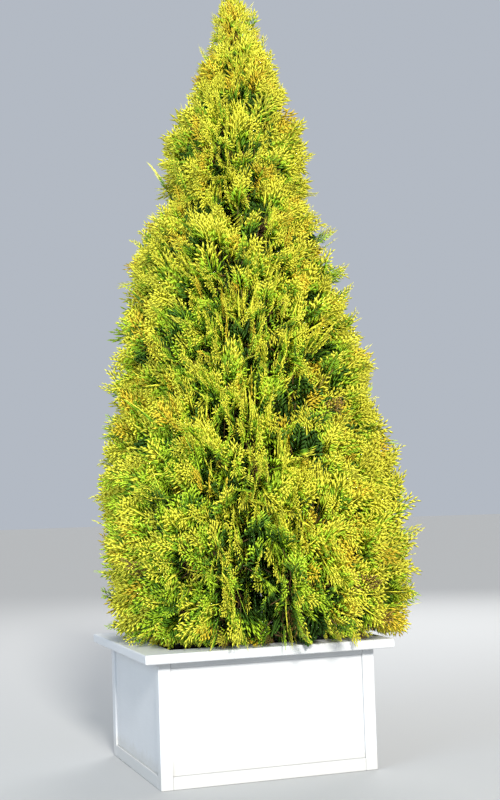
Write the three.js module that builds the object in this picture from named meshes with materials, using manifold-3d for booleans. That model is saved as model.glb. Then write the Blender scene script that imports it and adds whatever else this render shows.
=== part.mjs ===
// Potted thuja: a golden, cone-shaped conifer in a white panelled planter box.
// Millimetres, +Z up. The origin is the centre of the planter's flat underside, X runs along
// the planter's front, and the front faces -Y.

import * as THREE from 'three';
import { mergeVertices } from 'three/addons/utils/BufferGeometryUtils.js';
import Module from 'manifold-3d';

const wasm = await Module();
wasm.setup();
const { Manifold } = wasm;

// Planter box: posts and rails frame four recessed panels under a mitred rim
const WIDTH = 720;
const DEPTH = 660;
const HEIGHT = 420;
const RIM_THICK = 30;
const RIM_BOARD = 108;
const RIM_OVERHANG = 52;
const RIM_EASE = 4;
const POST = 40;
const TOP_RAIL = 20;
const BOTTOM_RAIL = 40;
const PANEL_THICK = 18;
const PANEL_RECESS = 6;
const FLOOR_THICK = 18;
const CLEAR = 0.3;

// Soil inside the planter, and the ground level that the trunk is cut at
const SOIL_DROP = 50;
const SOIL_TOP = HEIGHT - SOIL_DROP;

// Trunk: a taper with a root flare at the soil, a slight lean and a slight sway on its way up
const TRUNK_TOP = 2280;
const TRUNK_FOOT_RADIUS = 31;
const TRUNK_TIP_RADIUS = 5;
const TRUNK_SIDES = 10;
const TRUNK_RINGS = 14;
const RING_CROWDING = 1.7;
const FLARE = 20;
const FLARE_HEIGHT = 60;
const FLARE_LOBES = 5;
const FLARE_LOBE_DEPTH = 0.25;
const SWAY = 9;
const LEAN = 58;
const LEAN_TURN = THREE.MathUtils.degToRad(-18);

// Boughs: the limbs of the two lowest tiers, from the trunk's axis to where they enter a mass
const BOUGH_FOOT_RADIUS = 13;
const BOUGH_TIP_RADIUS = 8;
const BOUGH_SIDES = 5;
const BOUGH_RINGS = 3;
const BOUGH_ARCH = 22;
const BOUGH_SCATTER = 60;

// Crown: tiers of foliage masses from the rim up to the leader. Each tier has its number of
// masses, the height of their hearts and the crown's reach there, the half height and half
// width of a core, the length of its sprays and its number of twigs, and the turn in degrees
// of its first mass. A tier with boughs starts them on the trunk at the height boughFoot.
const TIERS = [
  { name: 'skirt', count: 6, height: 665, reach: 550, rise: 350, girth: 240,
    spray: 140, twigs: 30, first: -18, boughFoot: 430 },
  { name: 'lower', count: 5, height: 1050, reach: 500, rise: 340, girth: 215,
    spray: 135, twigs: 30, first: 10, boughFoot: 690 },
  { name: 'middle', count: 5, height: 1400, reach: 432, rise: 290, girth: 178,
    spray: 125, twigs: 24, first: -22 },
  { name: 'upper', count: 4, height: 1680, reach: 352, rise: 250, girth: 150,
    spray: 115, twigs: 22, first: -15 },
  { name: 'shoulder', count: 4, height: 2015, reach: 258, rise: 280, girth: 104,
    spray: 105, twigs: 20, first: 25 },
  { name: 'leader', count: 1, height: 2350, reach: 0, rise: 235, girth: 94,
    spray: 100, twigs: 16, first: 0 },
];
const CROWN_SHIFT = 88;
const SHIFT_TOP = 1700;
const TURN_SCATTER = 10;
const STAGGER = 0.15;
const STAGGER_SCATTER = 0.4;
const GIRTH_SCATTER = 0.06;
const AXIS_TILT = 0.1;
const STAND = 0.6;

// Cores and the spaces that masses keep to
const CORE_LUMP = 0.08;
const CORE_SQUARE = 4;
const CORE_TAPER = 0.15;
const CORE_GAP = 3;
const CELL_GAP = 1;
const BARE_SHARE = 0.45;
const STEM_RADIUS = 9;
const STEM_SHARE = 0.7;

// Twigs and sprays: a spray is a thin toothed fan on a tapering foot, thickest at its ridge
const GOLDEN_ANGLE = Math.PI * (3 - Math.sqrt(5));
const RING_BACK = 0.1;
const LEADER_BACK = 0.6;
const TWIG_RADIUS = 4;
const TWIG_TAPER = 0.4;
const TWIG_END = 0.84;
const GROW_OUT = 0.8;
const GROW_POLE = 0.25;
const GROW_UP_LEAST = 0.3;
const GROW_UP_MOST = 0.9;
const DROOP = 0.3;
const ROLL = 1.1;
const SPRAY_SHORT = 0.85;
const SPRAY_LONG = 1.1;
const SPRAY_THICK = 7;
const SPRAY_FOOT = 0.3;
const SPRAY_STAND_OUT = 0.24;
const FOOT_WIDTH = 8;
const SPRAY_RIDGE = 0.2;
const SPRAY_SPREAD = 1.6;
const SPRAY_ROUND = 0.35;
const SPRAY_NOTCH = 0.52;
const FINGERS = 5;
const SHORTER = [1, 0.82, 0.66];

const WHITE_PAINT = { color: 0xf1f1ee, roughness: 0.45, metalness: 0 };
const SOIL = { color: 0x2e221a, roughness: 1, metalness: 0 };
const BARK = { color: 0x6b4a35, roughness: 0.9, metalness: 0 };
const FOLIAGE = { color: 0xb9c02c, roughness: 0.7, metalness: 0 };

const UP = new THREE.Vector3(0, 0, 1);
const DOWN = new THREE.Vector3(0, 0, -1);
const potted = new THREE.Group();

function addMesh(name, geometry, finish) {
  const mesh = new THREE.Mesh(geometry, new THREE.MeshStandardMaterial(finish));
  mesh.name = name;
  potted.add(mesh);
  return mesh;
}

// A repeatable number from 0 to 1 for draw number k of a seed
function chance(seed, k) {
  const wave = Math.sin(seed * 127.1 + k * 311.7) * 43758.5453;
  return wave - Math.floor(wave);
}

function between(low, high, share) {
  return low + (high - low) * share;
}

// Solids for the cuts and joins
function toSolid(geometry) {
  const plain = new THREE.BufferGeometry();
  plain.setAttribute('position', geometry.getAttribute('position'));
  plain.setIndex(geometry.getIndex());
  const merged = mergeVertices(plain, 1e-4);
  return new Manifold(new wasm.Mesh({
    numProp: 3,
    vertProperties: Float32Array.from(merged.getAttribute('position').array),
    triVerts: Uint32Array.from(merged.getIndex().array),
  }));
}

function toGeometry(solid) {
  const { vertProperties, triVerts } = solid.getMesh();
  const geometry = new THREE.BufferGeometry();
  geometry.setAttribute('position', new THREE.BufferAttribute(vertProperties, 3));
  geometry.setIndex(new THREE.BufferAttribute(triVerts, 1));
  return geometry;
}

// The biggest connected piece, without loose scraps or sealed hollows
function largestPiece(solid) {
  const pieces = solid.decompose();
  return pieces.reduce((best, piece) => (piece.volume() > best.volume() ? piece : best));
}

// A round limb along a curve: a cylinder whose rings are moved onto the curve's frames
function limbGeometry(curve, radiusAt, sides, rings) {
  const geometry = new THREE.CylinderGeometry(1, 1, 1, sides, rings);
  const frames = curve.computeFrenetFrames(rings);
  const position = geometry.getAttribute('position');
  const vertex = new THREE.Vector3();
  for (let i = 0; i < position.count; i += 1) {
    vertex.fromBufferAttribute(position, i);
    const along = vertex.y + 0.5;
    const ring = Math.round(along * rings);
    const radius = radiusAt(along);
    const centre = curve.getPointAt(along);
    centre.addScaledVector(frames.normals[ring], radius * vertex.x);
    centre.addScaledVector(frames.binormals[ring], -radius * vertex.z);
    position.setXYZ(i, centre.x, centre.y, centre.z);
  }
  return geometry;
}

// Planter
function addBlock(name, size, centre) {
  const mesh = addMesh(name, new THREE.BoxGeometry(...size), WHITE_PAINT);
  mesh.position.set(...centre);
}

// A rim board: an eased section drawn out along the side, with both ends cut to the mitre
function rimGeometry(outerLength) {
  const section = new THREE.Shape();
  section.moveTo(RIM_EASE, 0);
  section.lineTo(RIM_BOARD, 0);
  section.lineTo(RIM_BOARD, RIM_THICK - RIM_EASE);
  section.lineTo(RIM_BOARD - RIM_EASE, RIM_THICK);
  section.lineTo(RIM_EASE, RIM_THICK);
  section.lineTo(0, RIM_THICK - RIM_EASE);
  section.lineTo(0, RIM_EASE);
  section.closePath();
  const geometry = new THREE.ExtrudeGeometry(section, { depth: 1, bevelEnabled: false });
  const position = geometry.getAttribute('position');
  for (let i = 0; i < position.count; i += 1) {
    const end = position.getZ(i) > 0.5 ? 1 : -1;
    position.setZ(i, end * (outerLength / 2 - position.getX(i) - CLEAR));
  }
  return geometry;
}

// The outline inside the walls, notched round the four posts
function insideOutline(gap) {
  const halfX = WIDTH / 2 - PANEL_RECESS - PANEL_THICK - gap;
  const halfY = DEPTH / 2 - PANEL_RECESS - PANEL_THICK - gap;
  const postX = WIDTH / 2 - POST - gap;
  const postY = DEPTH / 2 - POST - gap;
  const quarter = [[halfX, postY], [postX, postY], [postX, halfY]];
  const outline = new THREE.Shape();
  const turns = [[1, 1, false], [-1, 1, true], [-1, -1, false], [1, -1, true]];
  turns.forEach(([signX, signY, reversed], index) => {
    const corners = reversed ? [...quarter].reverse() : quarter;
    corners.forEach(([x, y], step) => {
      if (index === 0 && step === 0) {
        outline.moveTo(signX * x, signY * y);
      } else {
        outline.lineTo(signX * x, signY * y);
      }
    });
  });
  outline.closePath();
  return outline;
}

function addFilling(name, gap, bottom, top, finish) {
  const shape = insideOutline(gap);
  const geometry = new THREE.ExtrudeGeometry(shape, { depth: top - bottom, bevelEnabled: false });
  addMesh(name, geometry, finish).position.z = bottom;
}

function addPlanter() {
  const rimBottom = HEIGHT - RIM_THICK;
  const rail = PANEL_RECESS + PANEL_THICK;
  const sides = [
    { name: 'front', turn: 0, length: WIDTH, away: DEPTH / 2 },
    { name: 'right', turn: Math.PI / 2, length: DEPTH, away: WIDTH / 2 },
    { name: 'back', turn: Math.PI, length: WIDTH, away: DEPTH / 2 },
    { name: 'left', turn: -Math.PI / 2, length: DEPTH, away: WIDTH / 2 },
  ];
  for (const [index, side] of sides.entries()) {
    const across = index % 2 === 1;
    const outward = [Math.round(Math.sin(side.turn)), -Math.round(Math.cos(side.turn))];
    const span = side.length - 2 * POST;
    const addBoard = (name, thick, setBack, bottom, top) => {
      const centre = side.away - setBack - thick / 2;
      const size = across ? [thick, span, top - bottom] : [span, thick, top - bottom];
      const place = [outward[0] * centre, outward[1] * centre, (bottom + top) / 2];
      addBlock(`${name}_${side.name}`, size, place);
    };
    addBoard('top_rail', rail, 0, rimBottom - TOP_RAIL, rimBottom);
    addBoard('bottom_rail', rail, 0, 0, BOTTOM_RAIL);
    addBoard('panel', PANEL_THICK, PANEL_RECESS, BOTTOM_RAIL, rimBottom - TOP_RAIL);

    const rim = addMesh(`rim_${side.name}`, rimGeometry(side.length + 2 * RIM_OVERHANG), WHITE_PAINT);
    const inward = new THREE.Vector3(-outward[0], -outward[1], 0);
    const along = inward.clone().cross(UP);
    rim.quaternion.setFromRotationMatrix(new THREE.Matrix4().makeBasis(inward, UP, along));
    rim.position.copy(inward).multiplyScalar(-(side.away + RIM_OVERHANG));
    rim.position.z = rimBottom;
  }
  for (const [depthName, y] of [['front', -1], ['back', 1]]) {
    for (const [widthName, x] of [['left', -1], ['right', 1]]) {
      const centre = [x * (WIDTH - POST) / 2, y * (DEPTH - POST) / 2, rimBottom / 2];
      addBlock(`post_${depthName}_${widthName}`, [POST, POST, rimBottom], centre);
    }
  }
  addFilling('planter_floor', CLEAR, 0, FLOOR_THICK, WHITE_PAINT);
  addFilling('soil', CLEAR, FLOOR_THICK, SOIL_TOP, SOIL);
}

// Trunk, drawn on level rings so that its foot lies flat on the soil
function trunkCentre(height) {
  const share = (height - SOIL_TOP) / (TRUNK_TOP - SOIL_TOP);
  const sway = SWAY * Math.sin(share * Math.PI);
  const lean = LEAN * share;
  return new THREE.Vector3(lean * Math.cos(LEAN_TURN) - sway, lean * Math.sin(LEAN_TURN) + sway, height);
}

function trunkRadius(height, turn) {
  const rise = height - SOIL_TOP;
  const taper = between(TRUNK_FOOT_RADIUS, TRUNK_TIP_RADIUS, rise / (TRUNK_TOP - SOIL_TOP));
  const lobe = 1 - FLARE_LOBE_DEPTH * (1 - Math.cos(FLARE_LOBES * turn));
  return taper + FLARE * Math.exp(-rise / FLARE_HEIGHT) * lobe;
}

// The trunk, or with a gap the same shape grown all over by that gap
function trunkGeometry(gap) {
  const geometry = new THREE.CylinderGeometry(1, 1, 1, TRUNK_SIDES, TRUNK_RINGS);
  const position = geometry.getAttribute('position');
  for (let i = 0; i < position.count; i += 1) {
    const share = (position.getY(i) + 0.5) ** RING_CROWDING;
    const turn = Math.atan2(-position.getZ(i), position.getX(i));
    const height = between(SOIL_TOP, TRUNK_TOP, share);
    const centre = trunkCentre(height);
    const radius = Math.hypot(position.getX(i), position.getZ(i)) * (trunkRadius(height, turn) + gap);
    centre.x += radius * Math.cos(turn);
    centre.y += radius * Math.sin(turn);
    centre.z += between(-gap, gap, share);
    position.setXYZ(i, ...centre);
  }
  return geometry;
}

// Foliage masses
function crownCentre(height) {
  const share = Math.max(0, 1 - (height - SOIL_TOP) / (SHIFT_TOP - SOIL_TOP));
  const centre = trunkCentre(Math.min(height, TRUNK_TOP));
  centre.x += CROWN_SHIFT * share * Math.cos(LEAN_TURN);
  centre.y += CROWN_SHIFT * share * Math.sin(LEAN_TURN);
  centre.z = height;
  return centre;
}

// Mass k of a tier: where its heart lies, and which way its core stands and faces
function layOutMass(tier, k, seed) {
  const ringed = tier.count > 1;
  const degrees = tier.first + (360 / tier.count) * k + TURN_SCATTER * (chance(seed, 1) - 0.5);
  const turn = THREE.MathUtils.degToRad(degrees);
  const outward = new THREE.Vector3(Math.cos(turn), Math.sin(turn), 0);
  const uneven = 1 + STAGGER_SCATTER * (2 * chance(seed, 2) - 1);
  const stagger = (k % 2 === 0 ? 1 : -1) * STAGGER * tier.rise * uneven;
  const girth = tier.girth * (1 + GIRTH_SCATTER * (2 * chance(seed, 3) - 1));
  const ring = ringed ? tier.reach - girth - tier.spray * STAND : 0;
  const heart = crownCentre(tier.height + (ringed ? stagger : 0)).addScaledVector(outward, ring);
  return {
    name: `${tier.name}_mass_${k + 1}`,
    tier,
    seed,
    outward,
    ring,
    heart,
    offTrunk: heart.clone().sub(trunkCentre(heart.z)).dot(outward),
    girth,
    axis: UP.clone().addScaledVector(outward, ringed ? AXIS_TILT : 0).normalize(),
    pole: ringed ? outward : UP,
    back: ringed ? RING_BACK : LEADER_BACK,
  };
}

function layOutMasses() {
  const masses = [];
  for (const tier of TIERS) {
    for (let k = 0; k < tier.count; k += 1) {
      masses.push(layOutMass(tier, k, masses.length + 1));
    }
  }
  for (const mass of masses) {
    mass.cell = cellPlanes(mass, masses);
  }
  return masses;
}

// The flat boundaries that keep a mass in its own space among its neighbours
function cellPlanes(mass, masses) {
  const planes = [{ normal: DOWN, room: mass.heart.z - HEIGHT - CELL_GAP }];
  for (const other of masses) {
    if (other !== mass) {
      const normal = other.heart.clone().sub(mass.heart);
      const span = normal.length();
      normal.divideScalar(span);
      const share = mass.girth / (mass.girth + other.girth);
      planes.push({ normal, room: span * share - CELL_GAP });
    }
  }
  return planes;
}

function insideCell(mass, point) {
  const offset = point.clone().sub(mass.heart);
  return mass.cell.every((plane) => plane.normal.dot(offset) < plane.room);
}

// The core's surface seen from the heart: a squarish egg along the mass's axis, cut back by its
// cell and by the bare space round the trunk
function coreReach(mass, direction) {
  const lift = direction.dot(mass.axis);
  const level = Math.sqrt(Math.max(0, 1 - lift * lift));
  const girth = mass.girth * (1 - CORE_TAPER * lift);
  const bulge = Math.abs(lift / mass.tier.rise) ** CORE_SQUARE + (level / girth) ** CORE_SQUARE;
  let reach = bulge ** (-1 / CORE_SQUARE);
  for (const plane of mass.cell) {
    const slope = plane.normal.dot(direction);
    if (slope > 0) {
      reach = Math.min(reach, (plane.room - CORE_GAP) / slope);
    }
  }
  const inward = -direction.dot(mass.outward);
  if (mass.ring > 0 && inward > 0) {
    reach = Math.min(reach, (mass.offTrunk - mass.ring * BARE_SHARE) / inward);
  }
  return reach;
}

function coreSolid(mass) {
  const ball = new THREE.IcosahedronGeometry(1, 1);
  ball.deleteAttribute('normal');
  ball.deleteAttribute('uv');
  const geometry = mergeVertices(ball);
  const position = geometry.getAttribute('position');
  const direction = new THREE.Vector3();
  for (let i = 0; i < position.count; i += 1) {
    direction.fromBufferAttribute(position, i).normalize();
    const reach = coreReach(mass, direction) * (1 - CORE_LUMP * chance(mass.seed, 100 + i));
    position.setXYZ(i, ...direction.multiplyScalar(reach).add(mass.heart));
  }
  return toSolid(geometry);
}

// A straight tapering twig or stem between two points
function twigSolid(from, to, radius, sides) {
  const path = new THREE.LineCurve3(from, to);
  return toSolid(limbGeometry(path, (along) => radius * (1 - TWIG_TAPER * along), sides, 1));
}

// The fan's outline points: the two corners of its foot, then finger tips with notches between
function fanOutline(length) {
  const outline = [[-SPRAY_FOOT * length, FOOT_WIDTH / 2], [-SPRAY_FOOT * length, -FOOT_WIDTH / 2]];
  const steps = 2 * (FINGERS - 1);
  for (let step = 0; step <= steps; step += 1) {
    const angle = (step / steps - 0.5) * SPRAY_SPREAD;
    const tip = length * (1 - SPRAY_ROUND * (2 * angle / SPRAY_SPREAD) ** 2);
    const reach = step % 2 === 0 ? tip : tip * SPRAY_NOTCH;
    outline.push([reach * Math.cos(angle), reach * Math.sin(angle)]);
  }
  return outline;
}

// A spray's corners in space: the fan grows along `grow` from `root` and spreads along `spread`
function sprayCorners(root, grow, spread, length) {
  const face = grow.clone().cross(spread).normalize();
  const at = (along, aside, off) => root.clone()
    .addScaledVector(grow, along)
    .addScaledVector(spread, aside)
    .addScaledVector(face, off);
  const outline = fanOutline(length).map(([along, aside]) => at(along, aside, 0));
  const ridge = length * SPRAY_RIDGE;
  return { outline, front: at(ridge, 0, SPRAY_THICK / 2), back: at(ridge, 0, -SPRAY_THICK / 2) };
}

function spraySolid({ outline, front, back }) {
  const corners = [...outline, front, back];
  const index = [];
  for (let i = 0; i < outline.length; i += 1) {
    const next = (i + 1) % outline.length;
    index.push(outline.length, i, next);
    index.push(outline.length + 1, next, i);
  }
  const geometry = new THREE.BufferGeometry().setFromPoints(corners);
  geometry.setIndex(index);
  return toSolid(geometry);
}

// Twig k of a mass by the seeded rule: which way it leaves the heart, and how its spray grows
function twigRule(mass, k) {
  const facing = 1 - (1 + mass.back) * k / mass.tier.twigs;
  const level = Math.sqrt(1 - facing * facing);
  const turn = k * GOLDEN_ANGLE + mass.seed;
  const side = new THREE.Vector3().crossVectors(mass.outward, UP);
  const over = new THREE.Vector3().crossVectors(side, mass.pole);
  const direction = mass.pole.clone().multiplyScalar(facing)
    .addScaledVector(side, level * Math.sin(turn))
    .addScaledVector(over, level * Math.cos(turn));
  const lift = between(GROW_UP_LEAST, GROW_UP_MOST, chance(mass.seed, 10 + k));
  const grow = direction.clone().multiplyScalar(GROW_OUT)
    .addScaledVector(mass.pole, GROW_POLE)
    .addScaledVector(UP, lift * (1 - DROOP * (1 - direction.z)))
    .normalize();
  const spread = side.clone().addScaledVector(grow, -side.dot(grow)).normalize()
    .applyAxisAngle(grow, ROLL * (2 * chance(mass.seed, 40 + k) - 1));
  const length = mass.tier.spray * between(SPRAY_SHORT, SPRAY_LONG, chance(mass.seed, 70 + k));
  return { direction, grow, spread, length };
}

// One twig with its spray, the longest that stays in the mass's space
function growTwig(mass, k, solids) {
  const { direction, grow, spread, length } = twigRule(mass, k);
  const foot = mass.heart.clone().addScaledVector(direction, coreReach(mass, direction) * TWIG_END);
  for (const shorter of SHORTER) {
    const root = foot.clone().addScaledVector(grow, length * shorter * SPRAY_STAND_OUT);
    const corners = sprayCorners(root, grow, spread, length * shorter);
    if (corners.outline.every((point) => insideCell(mass, point))) {
      solids.push(twigSolid(mass.heart, foot, TWIG_RADIUS, 3), spraySolid(corners));
      return;
    }
  }
}

// A mass: its core, its stem, and twigs with sprays, cut clear of the trunk and the boughs
function massSolid(mass, stem, limbs) {
  const solids = [coreSolid(mass), stem];
  for (let k = 0; k < mass.tier.twigs; k += 1) {
    growTwig(mass, k, solids);
  }
  return largestPiece(Manifold.union(solids).subtract(limbs));
}

// A bough's line: from the trunk's axis, arching out and up to the near side of its mass's core
function boughPath(mass) {
  const foot = trunkCentre(mass.tier.boughFoot + BOUGH_SCATTER * chance(mass.seed, 4));
  const back = foot.clone().sub(mass.heart).normalize();
  const tip = mass.heart.clone().addScaledVector(back, coreReach(mass, back));
  const middle = foot.clone().lerp(tip, 0.5).addScaledVector(mass.outward, BOUGH_ARCH);
  return new THREE.QuadraticBezierCurve3(foot, middle, tip);
}

function boughSolid(path, gap) {
  const radiusAt = (along) => between(BOUGH_FOOT_RADIUS, BOUGH_TIP_RADIUS, along) + gap;
  return toSolid(limbGeometry(path, radiusAt, BOUGH_SIDES, BOUGH_RINGS));
}

// The stem of a mass without a bough starts on the trunk, and that of the leader on its tip
function trunkStem(mass) {
  if (mass.ring === 0) {
    return twigSolid(trunkCentre(TRUNK_TOP + CLEAR), mass.heart, TRUNK_TIP_RADIUS, BOUGH_SIDES);
  }
  const foot = trunkCentre(mass.heart.z - mass.tier.rise * STEM_SHARE);
  const radius = Math.min(STEM_RADIUS, trunkRadius(foot.z, 0) * STEM_SHARE);
  return twigSolid(foot, mass.heart, radius, BOUGH_SIDES);
}

function addTree() {
  addMesh('trunk', trunkGeometry(0), BARK);
  const grownTrunk = toSolid(trunkGeometry(CLEAR));
  const limbs = [grownTrunk];
  const masses = layOutMasses();
  for (const mass of masses) {
    if (mass.tier.boughFoot) {
      const path = boughPath(mass);
      const bough = largestPiece(boughSolid(path, 0).subtract(grownTrunk));
      addMesh(mass.name.replace('mass', 'bough'), toGeometry(bough), BARK);
      limbs.push(boughSolid(path, CLEAR));
      const start = path.getPoint(1).addScaledVector(path.getTangent(1), CLEAR);
      mass.stem = twigSolid(start, mass.heart, BOUGH_TIP_RADIUS, BOUGH_SIDES);
    } else {
      mass.stem = trunkStem(mass);
    }
  }
  const grownLimbs = Manifold.union(limbs);
  for (const mass of masses) {
    addMesh(mass.name, toGeometry(massSolid(mass, mass.stem, grownLimbs)), FOLIAGE);
  }
}

addPlanter();
addTree();

export default potted;
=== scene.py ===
"""A golden, cone-shaped thuja in a white panelled planter box, dressed over its fixed frame.

Lengths are metres, Z is up, and the origin is the centre of the planter's flat underside.
"""

import math

import bpy
import numpy as np
from bpy.props import (
    FloatProperty,
    FloatVectorProperty,
    IntProperty,
    PointerProperty,
)
from mathutils import Matrix, Vector


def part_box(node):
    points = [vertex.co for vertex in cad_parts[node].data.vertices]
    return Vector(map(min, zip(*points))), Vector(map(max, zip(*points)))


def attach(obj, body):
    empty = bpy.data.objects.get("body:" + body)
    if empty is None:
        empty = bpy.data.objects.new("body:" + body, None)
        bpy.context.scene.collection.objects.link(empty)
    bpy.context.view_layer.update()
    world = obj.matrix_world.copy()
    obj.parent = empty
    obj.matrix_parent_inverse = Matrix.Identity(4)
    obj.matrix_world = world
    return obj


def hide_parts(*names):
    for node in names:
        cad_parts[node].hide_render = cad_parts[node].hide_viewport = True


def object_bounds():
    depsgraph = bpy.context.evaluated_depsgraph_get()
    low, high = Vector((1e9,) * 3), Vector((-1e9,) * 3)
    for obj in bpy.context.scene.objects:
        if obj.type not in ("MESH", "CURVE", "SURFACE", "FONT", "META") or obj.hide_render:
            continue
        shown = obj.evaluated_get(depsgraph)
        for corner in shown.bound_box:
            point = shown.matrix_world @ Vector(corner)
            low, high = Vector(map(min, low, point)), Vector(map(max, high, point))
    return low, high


bl_info = {
    "name": "Potted Thuja",
    "version": (1, 0, 0),
    "blender": (4, 5, 0),
    "location": "3D Viewport > Sidebar > Thuja",
    "description": "Planter box, trunk, boughs and golden foliage of a potted thuja",
    "category": "Add Mesh",
}

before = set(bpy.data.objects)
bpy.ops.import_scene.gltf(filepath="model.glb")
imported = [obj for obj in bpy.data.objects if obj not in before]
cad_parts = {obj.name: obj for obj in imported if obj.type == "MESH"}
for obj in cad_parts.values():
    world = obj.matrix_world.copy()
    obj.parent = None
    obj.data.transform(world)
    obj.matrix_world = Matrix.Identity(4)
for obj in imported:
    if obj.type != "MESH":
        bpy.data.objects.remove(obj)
FRAME_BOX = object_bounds()

UP = np.array([0.0, 0.0, 1.0])
GOLDEN_ANGLE = math.pi * (3 - math.sqrt(5))

# Planter and soil: the levels match the frame's
PLANTER_TOP = 0.42
RIM_OUTER = np.array([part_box("rim_right")[1][0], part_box("rim_back")[1][1]])
RIM_INNER = np.array([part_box("rim_right")[0][0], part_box("rim_back")[0][1]])
SOIL_TOP = 0.37
SOIL_CORNER = 0.056
SOIL_TURNS = 120
SOIL_RINGS = 46
SOIL_LATTICE = 1.4
SOIL_LUMPS = (60, 43, 3.0)
SOIL_CLODS = (170, 121, 8.0)
CRUMB_RADIUS = (0.0025, 0.0075)
CRUMB_UNEVEN = 0.5
BESIDE_RIM, OVER_RIM, OVER_SOIL = 0.004, 0.003, 0.012

# Trunk: from the soil to its tip
TRUNK_TOP = 2.28
TRUNK_CORNERS = 72
TRUNK_RINGS = 420
TRUNK_STRIPS = (16, 9, 2.0)
FULL_RELIEF = 0.02
TRUNK_FOOT_RADIUS = 0.031
TRUNK_TIP_RADIUS = 0.005
RING_CROWDING = 1.7
FLARE = 0.02
FLARE_HEIGHT = 0.06
FLARE_LOBES = 5
FLARE_LOBE_DEPTH = 0.25
SWAY = 0.009
LEAN = 0.058
LEAN_TURN = math.radians(-18)
LEAN_LINE = np.array([math.cos(LEAN_TURN), math.sin(LEAN_TURN), 0.0])

# Boughs of the two lowest tiers, and stems. A tube: rings, corners and share of the relief
BOUGH_FOOT_RADIUS = 0.013
BOUGH_TIP_RADIUS = 0.008
BOUGH_ARCH = 0.022
BOUGH_SCATTER = 0.06
STEM_RADIUS = 0.009
STEM_SHARE = 0.7
STEM_THINNER = 0.6
LIMB_STRIPS = 7
STRIPS_TO_METRE = 12
BOUGH_TUBE = (60, 24, 0.5)
STEM_TUBE = (24, 14, 0.3)

# Twigs: radius at the foot and at the end
MAIN_TWIG = (0.0032, 0.0014)
FINE_TWIG = (0.0019, 0.0009)
CLUMP_TWIG = (0.0034, 0.0024)
TWIG_SAG = 0.08

# Crown: tiers of foliage masses from the planter's rim up to the leader
TIER_FIELDS = (
    "name", "count", "height", "reach", "rise", "girth", "spray", "twigs", "first", "bough_foot",
)
TIERS = [dict(zip(TIER_FIELDS, row)) for row in (
    ("skirt", 6, 0.665, 0.55, 0.35, 0.24, 0.14, 30, -18, 0.43),
    ("lower", 5, 1.05, 0.5, 0.34, 0.215, 0.135, 30, 10, 0.69),
    ("middle", 5, 1.4, 0.432, 0.29, 0.178, 0.125, 24, -22, None),
    ("upper", 4, 1.68, 0.352, 0.25, 0.15, 0.115, 22, -15, None),
    ("shoulder", 4, 2.015, 0.258, 0.28, 0.104, 0.105, 20, 25, None),
    ("leader", 1, 2.35, 0.0, 0.235, 0.094, 0.1, 16, 0, None),
)]
CROWN_SHIFT = 0.088
SHIFT_TOP = 1.7

# The masses' places, cores and own twigs, as in the source
TURN_SCATTER = 10
STAGGER = 0.15
STAGGER_SCATTER = 0.4
GIRTH_SCATTER = 0.06
AXIS_TILT = 0.1
STAND = 0.6
CORE_SQUARE = 4
CORE_TAPER = 0.15
CORE_GAP = 0.003
CELL_GAP = 0.001
BARE_SHARE = 0.45
RING_BACK = 0.1
LEADER_BACK = 0.6
TWIG_END = 0.84

# How sprays grow, and the room that each is tried in
GROW_OUT = 0.8
GROW_POLE = 0.25
GROW_UP = (0.3, 0.9)
DROOP = 0.3
ROLL = 1.1
SPRAY_SIZE = (0.85, 1.1)
SPRAY_STAND_OUT = 0.24
SPRAY_FOOT = 0.3
SPRAY_SPREAD = 1.6
SPRAY_ROUND = 0.35
SHORTER = (1, 0.82, 0.66, 0.5, 0.36)

# The crown's outline: its reach at each height
OUTLINE = (
    (0.42, 0.49), (0.6, 0.505), (0.79, 0.515), (0.95, 0.495), (1.05, 0.485), (1.15, 0.46),
    (1.26, 0.43), (1.46, 0.388), (1.67, 0.345), (1.77, 0.33), (1.83, 0.29), (1.89, 0.235),
    (1.98, 0.24), (2.08, 0.222), (2.19, 0.195), (2.24, 0.178), (2.3, 0.14), (2.39, 0.12),
    (2.49, 0.076), (2.56, 0.058), (2.62, 0.03), (2.66, 0.014),
)
OUTLINE_GRACE = 0.01
MAIN_GRACE = 0.025
LIMB_RELIEF = 0.12
LIMB_NOISE = (8, 12, 106)
PATCH_NOISE = (13, 20, 107)
NOISE_FOOT = 0.4
NOISE_SPAN = 2.3

# Clumps of finer twigs: sizes in spray lengths, and how their twigs and sprays lie
CLUMP_SPRAY = 0.82
CLUMP_GIRTH = (0.5, 0.75)
CLUMP_ROOM = 0.85
CLUMP_RELIEF = 1.1
CLUMP_FLAT = 0.22
CLUMP_YAW = 1.35
CLUMP_BACK = 0.3
CLUMP_UP = (0.0, 0.6)
HANG = 1.2
HANG_TOP = 0.26
PAGE_ROLL = 0.3
TWIG_ROLL = 0.6
CLUMPS_BELOW_TOP = 0.07
HEIGHT_SCATTER = 0.05
TWIG_REACH = (0.8, 1.1)
SHADE_BACK, SHADE_CLUMP, SHADE_TWIG = 0.3, 0.45, 0.25

# What changes with height: from a height on, and complete a span further up
FULLER_TOP, FULLER_FROM = 0.7, (1.4, 0.5)
BOLD_TOP, BOLD_FROM = 1.5, (1.5, 0.8)
GOLDEN_TOP, GOLDEN_FROM = 0.38, (1.4, 0.8)
DRY_LOW, DRY_HIGH, DRY_FROM = 8.0, 0.2, (PLANTER_TOP, 0.25)

# Blades of a spray: width and thickness in spray lengths, and how far along they are widest
RACHIS = (0.035, 0.009, 0.55)
BRANCHLET = (0.062, 0.008, 0.7)
FINGER = (0.058, 0.01, 0.62)
RACHIS_LENGTH = 1.28

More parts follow.
